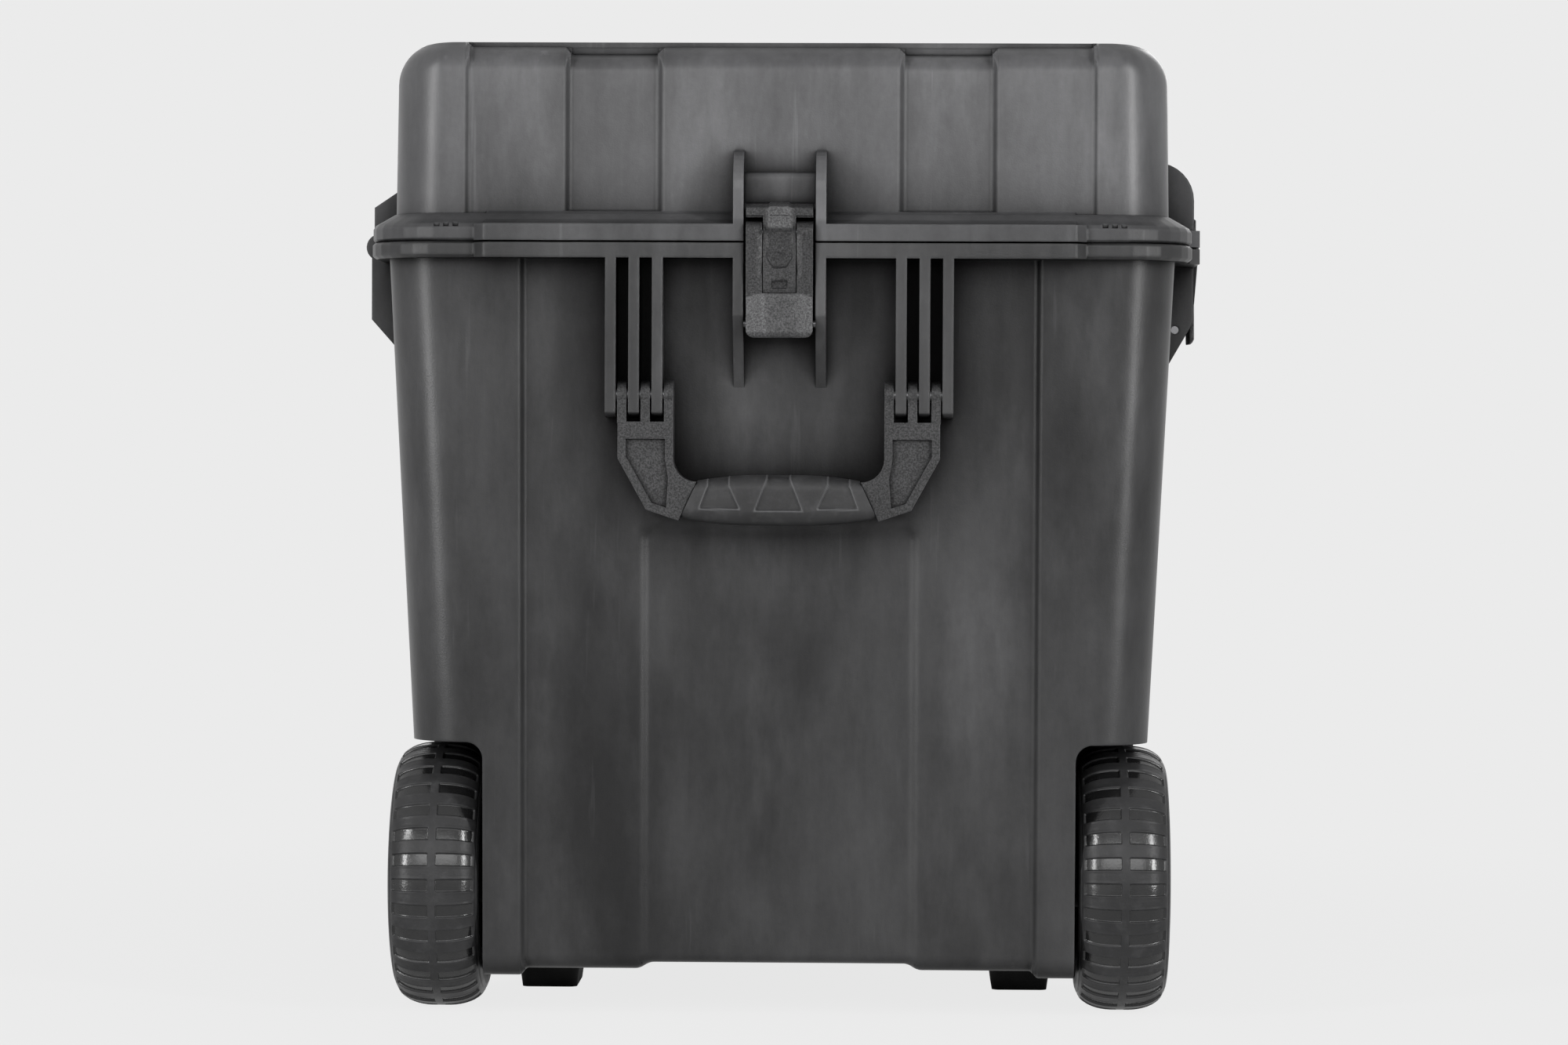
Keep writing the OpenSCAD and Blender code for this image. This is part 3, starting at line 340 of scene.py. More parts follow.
def make_materials():
    """The materials, by the record's material slots."""
    # painted shade on the lid's flange, below the lid's walls
    lid_flange_painted_shade = (0.4955, 0.4985, 0.78, 1.0)
    return {
        "case_plastic": moulded_plastic("case_plastic", (0.0205, 0.0205, 0.021), 0.34, 0.0024, 0.42),
        # painted light: the lid is the case's plastic, painted about twice as pale for the light that falls
        # more on the lid
        "lid_plastic": moulded_plastic("lid_plastic", (0.045, 0.045, 0.0465), 0.34, 0.0024, 0.34, lid_flange_painted_shade),
        "latch_plastic": rough_moulding("latch_plastic", (0.014, 0.014, 0.0145), 0.4, 0.0008),
        "handle_plastic": rough_moulding("handle_plastic", (0.015, 0.015, 0.0155), 0.45, 0.0009),
        "grip_rubber": rubber("grip_rubber", (0.016, 0.016, 0.0165), 0.5, 0.0008, GRIP_SPECULAR),
        "tyre_rubber": tread_rubber("tyre_rubber", (0.019, 0.019, 0.0195), 0.37, 0.22),
        "rim_plastic": moulded_plastic("rim_plastic", (0.02, 0.02, 0.021), 0.4, 0.0008, 0.12),
        "foot_rubber": rubber("foot_rubber", (0.008, 0.008, 0.008), 0.8, 0.0008, FOOT_SPECULAR, dusty=0.2),
        "seal_rubber": rubber("seal_rubber", (0.01, 0.01, 0.01), 0.7, 0.0004, SEAL_SPECULAR),
        "bush_plastic": moulded_plastic("bush_plastic", (0.015, 0.015, 0.015), 0.3, 0.0004, 0.08),
        "valve_plastic": moulded_plastic("valve_plastic", (0.02, 0.02, 0.021), 0.38, 0.0005, 0.1),
        "steel": plated_steel("steel"),
    }


def dress_nodes(made):
    for row in frame["record"]["subparts"]:
        mesh = frame["nodes"][row["node"]].data
        mesh.materials.clear()
        mesh.materials.append(made[row["material_slot"]])


# Shapes, in millimetres. Pairs of sizes are for the ends and for the long sides, unless they say x and y.
SIDES = (((0, -1), (1, 0)), ((1, 0), (0, 1)), ((0, 1), (-1, 0)), ((-1, 0), (0, -1)))  # outward, along
PARTING_Z = 483.9
BAND_Y = (356.5, 262.5)            # the flange's band faces, from the middle
CORNER_R = 38.0                    # plan radius of the corners
CORNER = 999.0                     # stands for the place of a column on a corner's arc
FAR = 600.0                        # past the case on every side
STEP_SLANT = 0.7                   # run of a moulded step for each millimetre of its depth
STEP_ROUNDS = (1.6, 1.3)           # how its foot and its top are rounded
SKIN_PROUD = 0.5                   # how far a skin stands over the CAD wall

LID_CENTRE = (203.2, 297.2)        # centre of a corner's arc at the parting line, x and y
LID_STRAIGHT = (198.5, 293.0)      # where its straight columns end
LID_LOW_Z, LID_TOP_Z = 496.0, 609.0
LID_DRAFT = math.radians(0.8)
LID_TOP_ROUND = (26.0, 20.0)       # radius of the top edge, x and y
LID_TURN_STEP = 7.5                # degrees between the rows round this edge
LID_TOP_INSETS = (1.5, 3.0, 4.5)   # rows on the flat top
LID_BACK = -1.2
POST_FROM, POST_RISE = (193.0, 287.0), 3.6
CHANNEL_AT, CHANNEL_HALF, CHANNEL_SINK = (103.5, 93.0), 27.0, 4.8

BODY_CENTRE = (207.2, 301.2)
BODY_STRAIGHT = (165.0, 260.0)
BODY_TOP_Z, BODY_LOW_Z = 478.0, 26.6
BODY_DRAFT = math.radians(2.75)
BODY_LOW_ROUND = 14.0
BODY_LOW_INSETS = (3.0, 6.5, 10.0)  # rows on the underside
BODY_BACK = -3.2
SHOULDER_FROM, SHOULDER_RISE = (158.0, 253.0), 4.5
RECESS_HALF, RECESS_TOP_Z, RECESS_R, RECESS_SINK = 84.8, 309.4, 10.0, 4.0

WHEEL_R, AXLE_Y = 84.0, -246.0
WELL_X, WELL_TOP_Z, WELL_ROUND = 184.4, 173.3, 10.6

TYRE_IN_X, TYRE_HALF_W = 187.0, 28.75
TYRE_FLANK_R, TYRE_CROWN = 64.0, 20.0
TYRE_BORE = ((60.0, 51.5), (60.0, 6.0))  # radius and place across, of the bore's two rims
TREAD_LIMIT_R = 83.95              # keeps the mould line's ridge off the floor
TREAD_ROWS = 32
POCKET_AT, POCKET_HALF, POCKET_ROUND, POCKET_SINK = 14.75, (12.25, 3.9), 0.8, 1.1
ACROSS = (0, 0.25, 0.5, 1.2, 1.9, 2.2, 2.5, 2.8, 3.1, 3.6, 6, 9, 12, 15, 18, 21, 24, 25.6, 26.2,
          26.5, 26.8, 27.1, 27.4, 28.0, 29.0, 29.4, 29.8, 30.2, 30.7, 31.2, 31.8, 32.6, 33.2, 33.8,
          34.4, 35.2)              # mesh lines from the mould line outwards
AROUND = (0, 1.9, 2.9, 3.3, 3.6, 3.9, 4.2, 4.5, 5.0, 6.4)  # mesh lines from a pocket row's middle

GRIP_Y, GRIP_Z = 9.0, 325.0        # the bar's middle, behind the band face, and its height
GRIP_CORE, GRIP_ROUND = (3.5, 6.5), 9.0   # half depth and half height inside the round, and the round
GRIP_SEAM_HALF, GRIP_SEAM_LOW_Z, GRIP_SEAM_LEAN = 61.5, 312.3, 0.4603
GRIP_PAD_SINK, GRIP_RIM_RISE = 0.9, 0.25

LATCHES = (("front_latch", 0, 0.0), ("rear_latch", 2, 0.0),
           ("side_latch_front", 1, -190.0), ("side_latch_rear", 1, 190.0))  # name, side, place along it
LATCH_HALF = 20.6                  # half width of the hook's bar and of the lever
STEM_HALF = 10.1
HOOK_PIVOT = (12.0, 433.5)         # behind the band face, and height
BARREL_R = 6.5
LEVER_PIVOT_Z, KNUCKLE_R = 489.5, 7.0
CENTRE_RISE, CENTRE_HALF, CENTRE_Z = 1.6, 8.7, (489.6, 507.5)  # the hook's raised centre
TAB_LOW_Z, TAB_HALF, TAB_ROUND = 424.8, 20.5, 4.8
BOSS_HALF, BOSS_BACK = 22.1, 27.0


def grid_faces(rows, columns, wrap=False, start=0):
    index = np.arange(rows * columns).reshape(rows, columns) + start
    if wrap:
        index = np.hstack([index, index[:, :1]])
    corners = [index[:-1, :-1], index[:-1, 1:], index[1:, 1:], index[1:, :-1]]
    return np.stack(corners, axis=-1).reshape(-1, 4)


def ring_faces(one, other):
    """Quads between two closed loops of point numbers."""
    return np.stack([one, np.roll(one, -1), np.roll(other, -1), other], axis=-1)


def prism_faces(count):
    """The faces of a prism whose two ends have this many points."""
    loop = np.arange(count)
    caps = [loop.tolist(), list(range(2 * count - 1, count - 1, -1))]
    return caps + ring_faces(loop, loop + count).tolist()


def make_mesh(name, parts):
    """One mesh of several closed parts: (points, faces) or (points, faces, the painted highlight's strength at
    each point).
    """
    points, faces, painted_highlight, start = [], [], [], 0
    for some_points, some_faces, *some_painted_highlight in parts:
        points += (np.asarray(some_points, float) * MM).tolist()
        faces += [[int(i) + start for i in face] for face in some_faces]
        painted_highlight += [float(w) for w in some_painted_highlight[0]] if some_painted_highlight else [0.0] * len(some_points)
        start = len(points)
    mesh = bpy.data.meshes.new(name)
    mesh.from_pydata(points, [], faces)
    work = bmesh.new()
    work.from_mesh(mesh)
    bmesh.ops.recalc_face_normals(work, faces=work.faces)
    work.to_mesh(mesh)
    work.free()
    if any(painted_highlight):
        # painted highlight: the materials make these points paler and glossier
        mesh.attributes.new("painted_highlight", "FLOAT", "POINT").data.foreach_set("value", painted_highlight)
    return mesh


def make_piece(mesh, body, slot, made, sharp, replaced=()):
    """Puts a mesh into the scene under its own name. sharp is the least angle of a hard edge."""
    piece = add_object(mesh.name, mesh)
    mesh.materials.clear()
    mesh.materials.append(made[slot])
    mesh.shade_smooth()
    mesh.set_sharp_from_angle(angle=math.radians(sharp))
    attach(piece, body)
    if replaced:
        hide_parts(*replaced)


def share(e, foot, top, foot_round, top_round):
    """1 before the foot of a slanted step, 0 past its top, with both corners rounded."""
    run = top - foot

    def blend(at, reach):
        return np.maximum(reach - np.abs(e - at), 0) ** 2 / (4 * reach) / run

    return np.clip((top - e) / run, 0, 1) - blend(foot, foot_round) + blend(top, top_round)


def moulded_step(e, deep):
    """Deep before e = 0, and rising over a slanted step to 0."""
    return deep * share(e, 0, STEP_SLANT * deep, *STEP_ROUNDS)


def step(value, low, high):
    """A smooth step from 0 at low to 1 at high."""
    t = np.clip((value - low) / (high - low), 0, 1)
    return t * t * (3 - 2 * t)


def ridge(value, foot, top, end, far):
    """1 from top to end, and smoothly down to 0 at foot and far."""
    return step(value, foot, top) * step(-value, -far, -end)


def bead(value, at, width):
    """A rounded line of height 1."""
    return np.exp(-((value - at) / width) ** 2)


def window(value, low, high, soft):
    """1 between low and high, with straight slopes as wide as soft inside them."""
    return np.clip((value - low) / soft, 0, 1) * np.clip((high - value) / soft, 0, 1)


def past_box(past, radius):
    """Distance to a box with rounded corners, from how far points are past its core each way."""
    return np.hypot(*np.maximum(past, 0)) + np.minimum(past.max(axis=0), 0) - radius


def both_ways(marks):
    """Marks from 0 outwards, mirrored to the other side as well."""
    marks = list(marks)
    return [-m for m in marks[:0:-1]] + marks


def spots(limit, bends, near):
    """Places from 0 to limit, close together around the bends."""
    marks = [0.0]
    while marks[-1] < limit - 0.05:
        gap = min(max(abs(marks[-1] - b) - near, 0) for b in bends)
        marks.append(min(limit, marks[-1] + float(np.clip(0.5 * gap, 0.7, 8.0))))
    return marks


def skin_columns(straight, bends, near, turn_steps=14):
    """The upright lines of a skin round the case: anchor, reach, turn direction, side and place along it.

    Two columns on each side of a corner's arc lead over from the flat wall, a third of the way each.
    """
    columns = []
    for k, (out, along) in enumerate(SIDES):
        o, a = np.array(out, float), np.array(along, float)
        limit = straight[k % 2]
        half = spots(limit, bends[k % 2], near)
        for f in (2 / 3, 1 / 3):
            columns.append((-a * limit * (1 - f), o - a * f, o, k, -limit - 9 * f))
        for c in both_ways(half):
            columns.append((a * c, o, o, k, c))
        for f in (1 / 3, 2 / 3):
            columns.append((a * limit * (1 - f), o + a * f, o, k, limit + 9 * f))
        for i in range(turn_steps + 1):
            phi = math.pi / 2 * i / turn_steps
            columns.append((np.zeros(2), o + a, o * math.cos(phi) + a * math.sin(phi), k, CORNER))
    return [np.array(part) for part in zip(*columns)]


def plan_points(columns, centre, lean, radii):
    """The columns' points in plan, for corner arcs with these radii around a centre that leans in."""
    anchor, reach, turn = columns[:3]
    lean = np.broadcast_to(lean, len(anchor))[:, None]
    return anchor + reach * (np.array(centre) - lean) + turn * np.array(radii)


def skin_shell(base, depth, out, inside):
    """A closed shell: the base grid sunk by depth along its normals, from out in front to inside behind."""
    across = np.roll(base, -1, axis=1) - np.roll(base, 1, axis=1)
    normal = np.cross(across, np.gradient(base, axis=0))
    normal /= np.linalg.norm(normal, axis=2, keepdims=True)
    if (normal * base * np.array([1, 1, 0])).sum() < 0:
        normal = -normal
    front = base + normal * (out - depth)[..., None]
    back = base + normal * (inside - depth)[..., None]
    rows, columns = depth.shape
    count = rows * columns
    edge = np.arange(columns)
    faces = np.concatenate([
        grid_faces(rows, columns, True), grid_faces(rows, columns, True, count)[:, ::-1],
        ring_faces(edge, edge + count), ring_faces(edge + count - columns, edge + 2 * count - columns)])
    return np.concatenate([front.reshape(-1, 3), back.reshape(-1, 3)]), faces


def step_middle(e, deep):
    """Where a moulded step has its mesh lines closest, for one that begins at e."""
    return round(e + STEP_SLANT * deep / 2, 1)


def lid_skin(made):
    """The lid's walls with their grooves and corner posts, and the rounded edge of its top."""
    bends = [(step_middle(at - CHANNEL_HALF, -CHANNEL_SINK), step_middle(at + CHANNEL_HALF, CHANNEL_SINK),
              step_middle(post, POST_RISE)) for at, post in zip(CHANNEL_AT, POST_FROM)]
    columns = skin_columns(LID_STRAIGHT, bends, 3.4)
    turn, side, place = columns[2:]
    round_off = (turn ** 2) @ np.array(LID_TOP_ROUND)
    rows = [(t, 0.0, 0.0) for t in np.linspace(0, 1, 9)]
    rows += [(1.0, a, 0.0) for a in np.radians(np.arange(LID_TURN_STEP, 90.1, LID_TURN_STEP))]
    rows += [(1.0, math.pi / 2, inset) for inset in LID_TOP_INSETS]
    base = []
    for t, a, inset in rows:
        z = LID_LOW_Z + t * (LID_TOP_Z - LID_LOW_Z - round_off) + round_off * math.sin(a)
        lean = (z - PARTING_Z) * math.tan(LID_DRAFT)
        radii = [CORNER_R - r * (1 - math.cos(a)) - inset for r in LID_TOP_ROUND]
        base.append(np.column_stack([plan_points(columns, LID_CENTRE, lean, radii), z]))
    along, ends = np.abs(place), side % 2 == 0
    depth = moulded_step(along - np.where(ends, *POST_FROM), POST_RISE)
    depth += moulded_step(np.abs(along - np.where(ends, *CHANNEL_AT)) - CHANNEL_HALF, CHANNEL_SINK)
    depth = np.where(place == CORNER, 0, depth)
    turned = np.array([a for _, a, _ in rows])
    dive = step(turned, math.radians(60), math.radians(88))[:, None] * step(2 - depth, 0, 1)[None, :]
    shape = (len(rows), len(depth))
    shell = skin_shell(np.array(base), np.broadcast_to(depth, shape), SKIN_PROUD - 0.65 * dive,
                       np.full(shape, LID_BACK))
    make_piece(make_mesh("lid_skin", [shell]), "lid", "lid_plastic", made, 60)


def body_rows():
    """Height, turn round the lower edge and inset under the body, for each row of its skin."""
    heights = np.concatenate([np.linspace(BODY_TOP_Z, 322, 22), np.arange(320, 299.9, -0.8),
                              np.linspace(298, BODY_LOW_Z + BODY_LOW_ROUND, 33)])
    rows = [(z, 0.0, 0.0) for z in sorted(set(np.round(heights, 3)))[::-1]]
    rows += [(BODY_LOW_Z + BODY_LOW_ROUND * (1 - math.sin(b)), b, 0.0)
             for b in np.radians(np.arange(9, 90.1, 9))]
    return rows + [(BODY_LOW_Z, math.pi / 2, inset) for inset in BODY_LOW_INSETS]


def body_skin(made):
    """The body's walls with their shoulders and the recess of the ends, cut out for the wheels."""
    shoulders = [step_middle(at, SHOULDER_RISE) for at in SHOULDER_FROM]
    columns = skin_columns(BODY_STRAIGHT, ((RECESS_HALF - 1, shoulders[0]), (shoulders[1],)), 4.5)
    side, place = columns[3:]
    along, ends = np.abs(place), (side % 2 == 0) & (place != CORNER)
    whole = np.zeros(len(place))
    shoulder = moulded_step(along - np.where(ends, *SHOULDER_FROM), SHOULDER_RISE)
    base, depth, out = [], [], []
    for z, b, inset in body_rows():
        radius = CORNER_R - BODY_LOW_ROUND * (1 - math.cos(b)) - inset
        xy = plan_points(columns, BODY_CENTRE, (PARTING_Z - z) * math.tan(BODY_DRAFT), (radius, radius))
        base.append(np.column_stack([xy, whole + z]))
        away = past_box(np.stack([along - (RECESS_HALF - RECESS_R), whole + z - (RECESS_TOP_Z - RECESS_R)]),
                        RECESS_R)
        recess = np.where(ends, RECESS_SINK * share(away, -4, 2, 3, 3), 0)
        depth.append(np.where(place == CORNER, 0, shoulder + recess))
        out.append(whole + SKIN_PROUD - 0.12 * inset)
    depth = np.array(depth)
    shell = skin_shell(np.array(base), depth, np.array(out), np.full(depth.shape, BODY_BACK))
    whole_piece = add_object("body_skin_whole", make_mesh("body_skin_whole", [shell]))
    cutters = [cutter for s in (-1, 1) for cutter in well_cutters(s)]
    for cutter in cutters:
        cut = whole_piece.modifiers.new("cut", "BOOLEAN")
        cut.operation = "DIFFERENCE"
        cut.solver = "MANIFOLD"
        cut.object = cutter
    graph = bpy.context.evaluated_depsgraph_get()
    mesh = bpy.data.meshes.new_from_object(whole_piece.evaluated_get(graph))
    mesh.name = "body_skin"
    for spare in [whole_piece] + cutters:
        spare_mesh = spare.data
        bpy.data.objects.remove(spare)
        bpy.data.meshes.remove(spare_mesh)
    make_piece(mesh, "case_body", "case_plastic", made, 42)


def well_cutters(s):
    """The room of one wheel as two solids: flat over the wheel, round behind it."""
    corner = [(WELL_X + WELL_ROUND * (1 - math.cos(a)), WELL_TOP_Z - WELL_ROUND * (1 - math.sin(a)))
              for a in np.radians(np.arange(0, 91, 9))]
    outline = [(WELL_X, -40.0)] + corner + [(FAR, WELL_TOP_Z), (FAR, -40.0)]
    slab = [(s * x, y, z) for y in (-420.0, AXLE_Y) for x, z in outline]
    rings = [(x, z - WHEEL_R) for x, z in corner + [(FAR, WELL_TOP_Z)]]
    turns = np.radians(np.arange(0, 360, 3))
    disc = [(s * x, AXLE_Y + r * math.sin(t), WHEEL_R + r * math.cos(t)) for x, r in rings for t in turns]
    disc_faces = grid_faces(len(rings), len(turns), True).tolist()
    disc_faces += [list(range(len(turns))), list(range(len(disc) - 1, len(disc) - len(turns) - 1, -1))]
    parts = ((slab, prism_faces(len(outline))), (disc, disc_faces))
    return [add_object("cutter", make_mesh("cutter", [part])) for part in parts]


def tyre_outline():
    """Mesh marks across the tread with the radius, width and normal there, from flank to flank."""
    angle = np.linspace(0, math.pi, 4001)
    c, k = np.cos(angle), np.sin(angle)
    radius = TYRE_FLANK_R + TYRE_CROWN * np.maximum(k, 0) ** 0.72
    width = TYRE_HALF_W * (1 - np.sign(c) * np.abs(c) ** 0.8)
    run = np.concatenate([[0], np.cumsum(np.hypot(np.diff(radius), np.diff(width)))])
    run -= run[len(run) // 2]
    marks = np.array(both_ways(ACROSS + tuple(np.arange(36.2, run[-1] - 0.8, 1.1)) + (run[-1] - 0.2,)))
    at_r, at_w = np.interp(marks, run, radius), np.interp(marks, run, width)
    slope_r, slope_w = np.gradient(at_r, marks), np.gradient(at_w, marks)
    steep = np.hypot(slope_r, slope_w)
    return marks, at_r, at_w, slope_w / steep, -slope_r / steep


def tyre(which, s, made):
    """A tyre with cast-in tread pockets, a mould line and ridged side walls."""
    marks, at_r, at_w, normal_r, normal_w = tyre_outline()
    pitch = 2 * math.pi * WHEEL_R / TREAD_ROWS
    offsets = np.array(both_ways(AROUND) + [pitch / 2])
    arc = np.concatenate([i * pitch + offsets for i in range(TREAD_ROWS)])
    from_row = np.tile(offsets, TREAD_ROWS)
    along = np.abs(marks)[:, None]
    half_across, half_around = (half - POCKET_ROUND for half in POCKET_HALF)
    past = np.broadcast_arrays(np.abs(along - POCKET_AT) - half_across, np.abs(from_row)[None, :] - half_around)
    away = past_box(np.stack(past), POCKET_ROUND)
    pocket = step(-away, -0.35, 0.35)
    lift = -POCKET_SINK * pocket + 0.18 * bead(away, 0.6, 0.3)
    lift = lift - 0.5 * ridge(along, 29.3, 29.9, 30.7, 31.3)     # groove beside the tread
    lift = lift + 0.12 * bead(along, 0, 0.35)                    # mould line
    lift = lift + 0.16 * ridge(along, 33.0, 33.6, 34.3, 35.0)    # side wall ridge
    bore_r, bore_w = (np.broadcast_to(np.array(part)[:, None], (2, len(arc))) for part in zip(*TYRE_BORE))
    r = np.vstack([np.minimum(at_r[:, None] + lift * normal_r[:, None], TREAD_LIMIT_R), bore_r])
    w = np.vstack([at_w[:, None] + lift * normal_w[:, None], bore_w])
    turn = (arc / WHEEL_R)[None, :]
    points = np.stack([s * (TYRE_IN_X + w), AXLE_Y + r * np.sin(turn), WHEEL_R + r * np.cos(turn)], -1)
    rows, columns = r.shape
    last = np.arange(columns)
    faces = np.concatenate([grid_faces(rows, columns, True), ring_faces(last + (rows - 1) * columns, last)])
    mesh = make_mesh(which + "_tyre_cast", [(points.reshape(-1, 3), faces)])
    values = np.vstack([pocket, np.zeros((2, columns))]).ravel().astype(np.float32)
    mesh.attributes.new("pocket", "FLOAT", "POINT").data.foreach_set("value", values)
    make_piece(mesh, which + "_wheel", "tyre_rubber", made, 70, (which + "_tyre",))


def place_on(side, points, at=0.0):
    """Moves points from the frame of one side, with y = 0 on its band face, to their place."""
    x, y, z = np.asarray(points, float).T
    x, y = x + at, y - BAND_Y[side % 2]
    x, y = ((x, y), (-y, x), (-x, -y), (y, -x))[side]
    return np.column_stack([x, y, z])


def grip_section():
    """The outline of the grip bar as (depth, height) from its middle, with its outward normals."""
    core_d, core_h = GRIP_CORE
    section = []
    for qx, qz, first in ((1, 1, 0), (-1, 1, 90), (-1, -1, 180), (1, -1, 270)):
        for a in np.radians(first + 7.5 * np.arange(13)):
            section.append((qx * core_d + GRIP_ROUND * math.cos(a), qz * core_h + GRIP_ROUND * math.sin(a)))
        across = first % 180 == 0
        sx, sz = section[-1]
        dx, dz = (-qx * 2 * core_d, 0.0) if across else (0.0, -qz * 2 * core_h)
        section += [(sx + dx * f, sz + dz * f) for f in np.linspace(0, 1, 9 if across else 16)[1:-1]]
    section = np.array(section)
    near = np.gradient(np.vstack([section[-1:], section, section[:1]]), axis=0)[1:-1]
    normal = np.column_stack([near[:, 1], -near[:, 0]])
    return section, normal / np.linalg.norm(normal, axis=1, keepdims=True)


def grip(which, side, made):
    """A rubber grip bar: crowned, with three trapezoid pads let into its front and top."""
    section, normal = grip_section()
    t = np.linspace(-1, 1, 171)[:, None]
    inset = np.clip((np.abs(t) - 0.25) / 0.75, 0, 1) ** 2
    depth = section[None, :, 0] * (1 - inset * 3.0 / (GRIP_CORE[0] + GRIP_ROUND))
    taper = np.where(section[:, 1] > 0, 3.5, 4.5) / (GRIP_CORE[1] + GRIP_ROUND)
    z = GRIP_Z + section[None, :, 1] * (1 - inset * taper)
    x = t * (GRIP_SEAM_HALF - GRIP_SEAM_LEAN * (z - GRIP_SEAM_LOW_Z) - 0.35)
    ax = np.abs(x)
    pad_z = np.minimum(z, 339)
    middle = np.interp(pad_z, [318.5, 338.3], [14.7, 7.0]) - ax
    outer = np.minimum(ax - np.interp(pad_z, [320, 334], [24.0, 30.5]),
                       np.interp(pad_z, [320, 334], [48.5, 43.5]) - ax)
    front = step(4.0 - depth, 0, 3)
    inside = np.maximum(np.minimum(middle, z - 318.5), np.minimum(outer, z - 319.6))
    rim = bead(inside, -0.1, 0.45) * front
    sink = GRIP_PAD_SINK * step(inside, 0, 0.8) * front - GRIP_RIM_RISE * rim
    y = GRIP_Y + depth - sink * normal[None, :, 0]
    z = z - sink * normal[None, :, 1]
    points = np.stack(np.broadcast_arrays(x, y, z), -1)
    rows, columns = points.shape[:2]
    points = np.concatenate([points.reshape(-1, 3), points[[0, -1]].mean(axis=1)])
    faces = grid_faces(rows, columns, True).tolist()
    for row, centre in ((0, rows * columns), (rows - 1, rows * columns + 1)):
        loop = row * columns + np.arange(columns)
        faces += [[int(a), int(b), centre] for a, b in zip(loop, np.roll(loop, -1))]
    # painted highlight along the pads' rims
    painted_highlight = np.append(np.broadcast_to(rim, (rows, columns)), [0, 0])
    mesh = make_mesh(which + "_grip_cast", [(place_on(side, points), faces, painted_highlight)])
    make_piece(mesh, which + "_handle", "grip_rubber", made, 50, (which + "_handle_grip",))


def relief(x, z, front, back, painted_highlight=0.0):
    """A closed block over a grid of x and z, between a front and a back depth, with its painted highlight
    values.
    """
    x, z, front, back, painted_highlight = np.broadcast_arrays(x, z, front, back, painted_highlight)
    rows, columns = x.shape
    count = rows * columns
    points = np.concatenate([np.stack([x, y, z], -1).reshape(-1, 3) for y in (front, back)])
    index = np.arange(count).reshape(rows, columns)
    loop = np.concatenate([index[0, :-1], index[:-1, -1], index[-1, :0:-1], index[:0:-1, 0]])
    faces = np.concatenate([grid_faces(rows, columns), grid_faces(rows, columns, start=count)[:, ::-1],
                            ring_faces(loop, loop + count)])
    return points, faces, np.append(painted_highlight.ravel(), np.zeros(count))


def prism(outline, half):
    """An outline of (y, z) points, extruded over the width."""
    points = np.array([(x, y, z) for x in (-half, half) for y, z in outline])
    return points, prism_faces(len(outline)), np.zeros(len(points))


def latch_piece(name, what, parts, where, made):
    """The hook or the lever of a latch, from its closed parts."""
    side, at = where
    parts = [(place_on(side, points, at), faces, painted_highlight) for points, faces, painted_highlight in parts]
    node = name + what
    make_piece(make_mesh(node + "_cast", parts), node, "latch_plastic", made, 28, (node,))


def centre_rise(x, z):
    """The raised middle of the hook's bar and stem."""
    return CENTRE_RISE * np.clip((CENTRE_HALF - np.abs(x)) / 2.5, 0, 1) * window(z, *CENTRE_Z, 2.6)


def hook_bar():
    """The bar that hooks over the lid's catch."""
    x = np.linspace(-LATCH_HALF, LATCH_HALF, 83)[None, :]
    v = np.array([0, 0.1, 0.13, 0.3, 0.5, 0.68, 0.74, 0.82, 0.9, 1.0])[:, None]
    low, top = 498.5, 506.8 + 1.2 * step(7.5 - np.abs(x), 0, 2)
    z = low + v * (top - low)
    rise = centre_rise(x, z)
    front = np.interp(v, [0, 0.1, 0.13, 0.68, 0.74, 1.0], [-0.4, -0.4, -1.2, -1.2, -0.7, 3.0]) - rise
    # painted highlight on the raised centre
    return relief(x, z, front, np.interp(v, [0, 0.8, 1.0], [15.0, 15.0, 5.0]), rise / CENTRE_RISE)


def hook_stem():
    """The stem, with a tapered hollow, a small square one below it and a round mark."""
    x = np.linspace(-STEM_HALF, STEM_HALF, 61)[None, :]
    z = np.arange(448.9, 500.01, 0.55)[:, None]
    ax = np.abs(x)
    hollow = 1.5 * np.clip((492.0 - z) / 20.0, 0, 1) * np.clip((z - 467.0) / 1.6, 0, 1)
    hollow = hollow * np.clip((np.minimum(8.4, 4.2 + (z - 467.0) * 0.6) - ax) / 1.3, 0, 1)
    square = 1.2 * window(z, 454.5, 460.0, 0.9) * np.clip((5.2 - ax) / 0.9, 0, 1)
    ring = np.hypot(x, z - 479.5)
    mark = 0.3 * step(1.8 - ring, 0, 0.5) - 0.3 * step(2.7 - ring, 0, 0.5)
    rise = centre_rise(x, z)
    front = np.interp(z, [448.9, 458.7, 500.5], [0.0, -1.2, -1.2]) + hollow + square + mark - rise
    return relief(x, z, front, 13.0, rise / CENTRE_RISE)


def latch_hook(name, where, made):
    """The hook: bar, stem, and the block and barrel on its pivot."""
    y, z = HOOK_PIVOT
    block = prism([(2.6, z), (2.6, 451.7), (13.0, 451.7), (17.0, z)], LATCH_HALF)
    barrel = prism([(y + BARREL_R * math.cos(a), z + BARREL_R * math.sin(a))
                    for a in np.radians(np.arange(0, 360, 10))], LATCH_HALF)
    latch_piece(name, "_hook", (hook_bar(), hook_stem(), block, barrel), where, made)


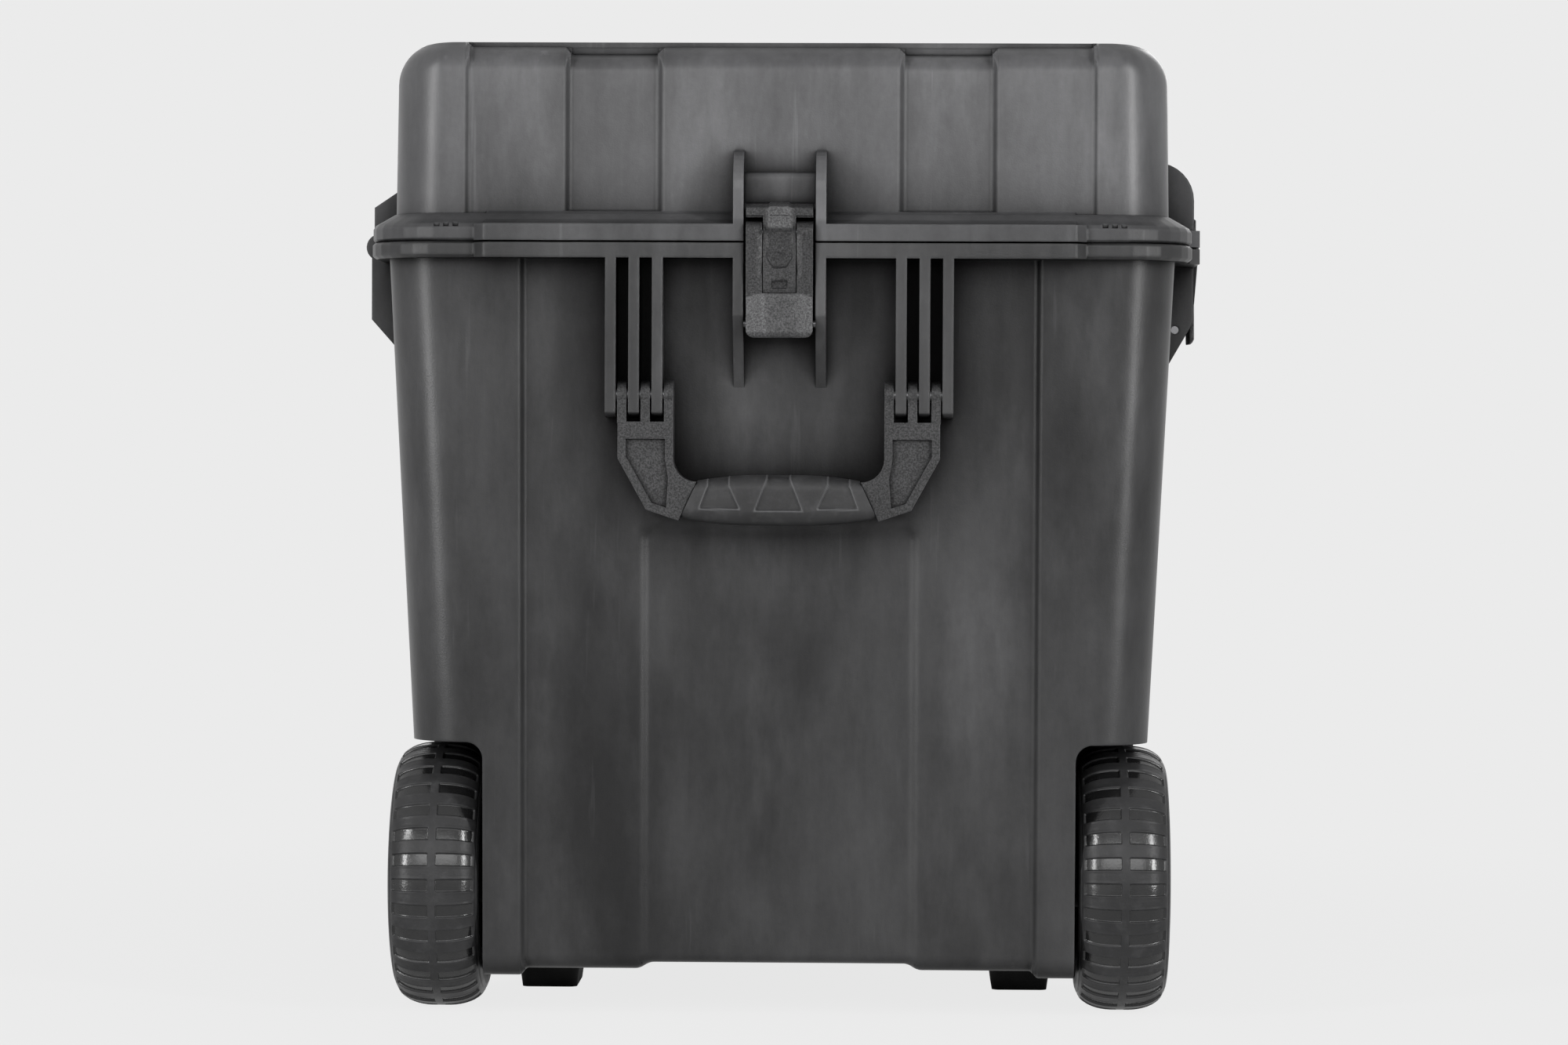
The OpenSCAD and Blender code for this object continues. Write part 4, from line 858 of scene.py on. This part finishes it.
def boss_face(name, where, made):
    """The upright face of the lid's boss between the two ribs over a latch."""
    side, at = where
    x = np.linspace(-BOSS_HALF, BOSS_HALF, 45)[None, :]
    z = np.array([507.6, 508.2, 509.0, 513.0, 518.0, 522.0, 525.0, 526.0, 526.6, 527.0])[:, None]
    front = np.interp(z, [507.6, 508.4, 525.4, 526.4, 527.0], [15.6, 15.3, 16.2, 17.0, 18.4])
    points, faces, _ = relief(x, z, front, BOSS_BACK)
    mesh = make_mesh(name + "_boss_face", [(place_on(side, points, at), faces)])
    make_piece(mesh, "lid", "lid_plastic", made, 40)


def lever_arm(s):
    """One arm of the lever, with its knuckle on the lever's pivot and a chamfer along the stem."""
    z = np.concatenate([np.arange(450.2, 486.0, 0.9), np.linspace(486.0, 496.4, 18)])[:, None]
    above = np.sqrt(np.maximum(KNUCKLE_R ** 2 - (z - LEVER_PIVOT_Z) ** 2, 0))
    straight = z < LEVER_PIVOT_Z
    ax = np.linspace(10.6, LATCH_HALF, 31)[None, :]
    front = np.where(straight, np.interp(z, [450.2, LEVER_PIVOT_Z], [-0.9, -3.98]), 3.02 - above)
    chamfer = 1.9 * np.clip((13.9 - ax) / 3.1, 0, 1) * window(z, 461.5, 491.0, 3.0)
    back = np.where(straight, np.interp(z, [450.2, 455.7, LEVER_PIVOT_Z], [1.8, 5.8, 10.0]), 3 + above)
    # painted highlight on the chamfer
    return relief(s * ax, z, front + chamfer, np.maximum(back, front + chamfer + 0.05), chamfer / 3)


def lever_tab():
    """The pull tab across the arms' lower ends, with rounded lower corners, and painted highlight: paler
    overall, paler at its sides and along a slanted streak that is a painted reflection.
    """
    z = np.concatenate([np.linspace(TAB_LOW_Z, 430.2, 13), np.arange(431.0, 452.1, 1.05)])[:, None]
    rise = np.clip(z - TAB_LOW_Z, 0, TAB_ROUND)
    half = TAB_HALF - (TAB_ROUND - np.sqrt(np.maximum(TAB_ROUND ** 2 - (TAB_ROUND - rise) ** 2, 0)))
    x = np.linspace(-1, 1, 61)[None, :] * half
    front = np.interp(z, [TAB_LOW_Z, 426.0, 428.0, 450.6, 452.0], [0.3, -1.0, -2.0, -1.8, -1.2])
    front = front + 1.3 * (np.abs(x) / TAB_HALF) ** 2.6
    # painted reflection: a pale slanted streak across the tab
    painted_reflection_streak = bead(x + 0.08 * (z - 438), -9.5, 1.4)
    # painted highlight: the whole tab paler, and more so at its sides
    return relief(x, z, front, 1.8, 0.5 + 0.6 * step(np.abs(x), 5, 16) + 0.7 * painted_reflection_streak)


def latch_lever(name, where, made):
    """The lever: two arms on its pin in the hook, and the pull tab."""
    latch_piece(name, "_lever", (lever_arm(-1), lever_arm(1), lever_tab()), where, made)


make_camera()
make_world()
make_floor()
for light in LIGHTS:
    make_light(*light)
made = make_materials()
dress_nodes(made)
lid_skin(made)
body_skin(made)
tyre("left", -1, made)
tyre("right", 1, made)
grip("front", 0, made)
grip("rear", 2, made)
for latch, *where in LATCHES:
    boss_face(latch, where, made)
    latch_hook(latch, where, made)
    latch_lever(latch, where, made)

scene.view_settings.view_transform = "Standard"
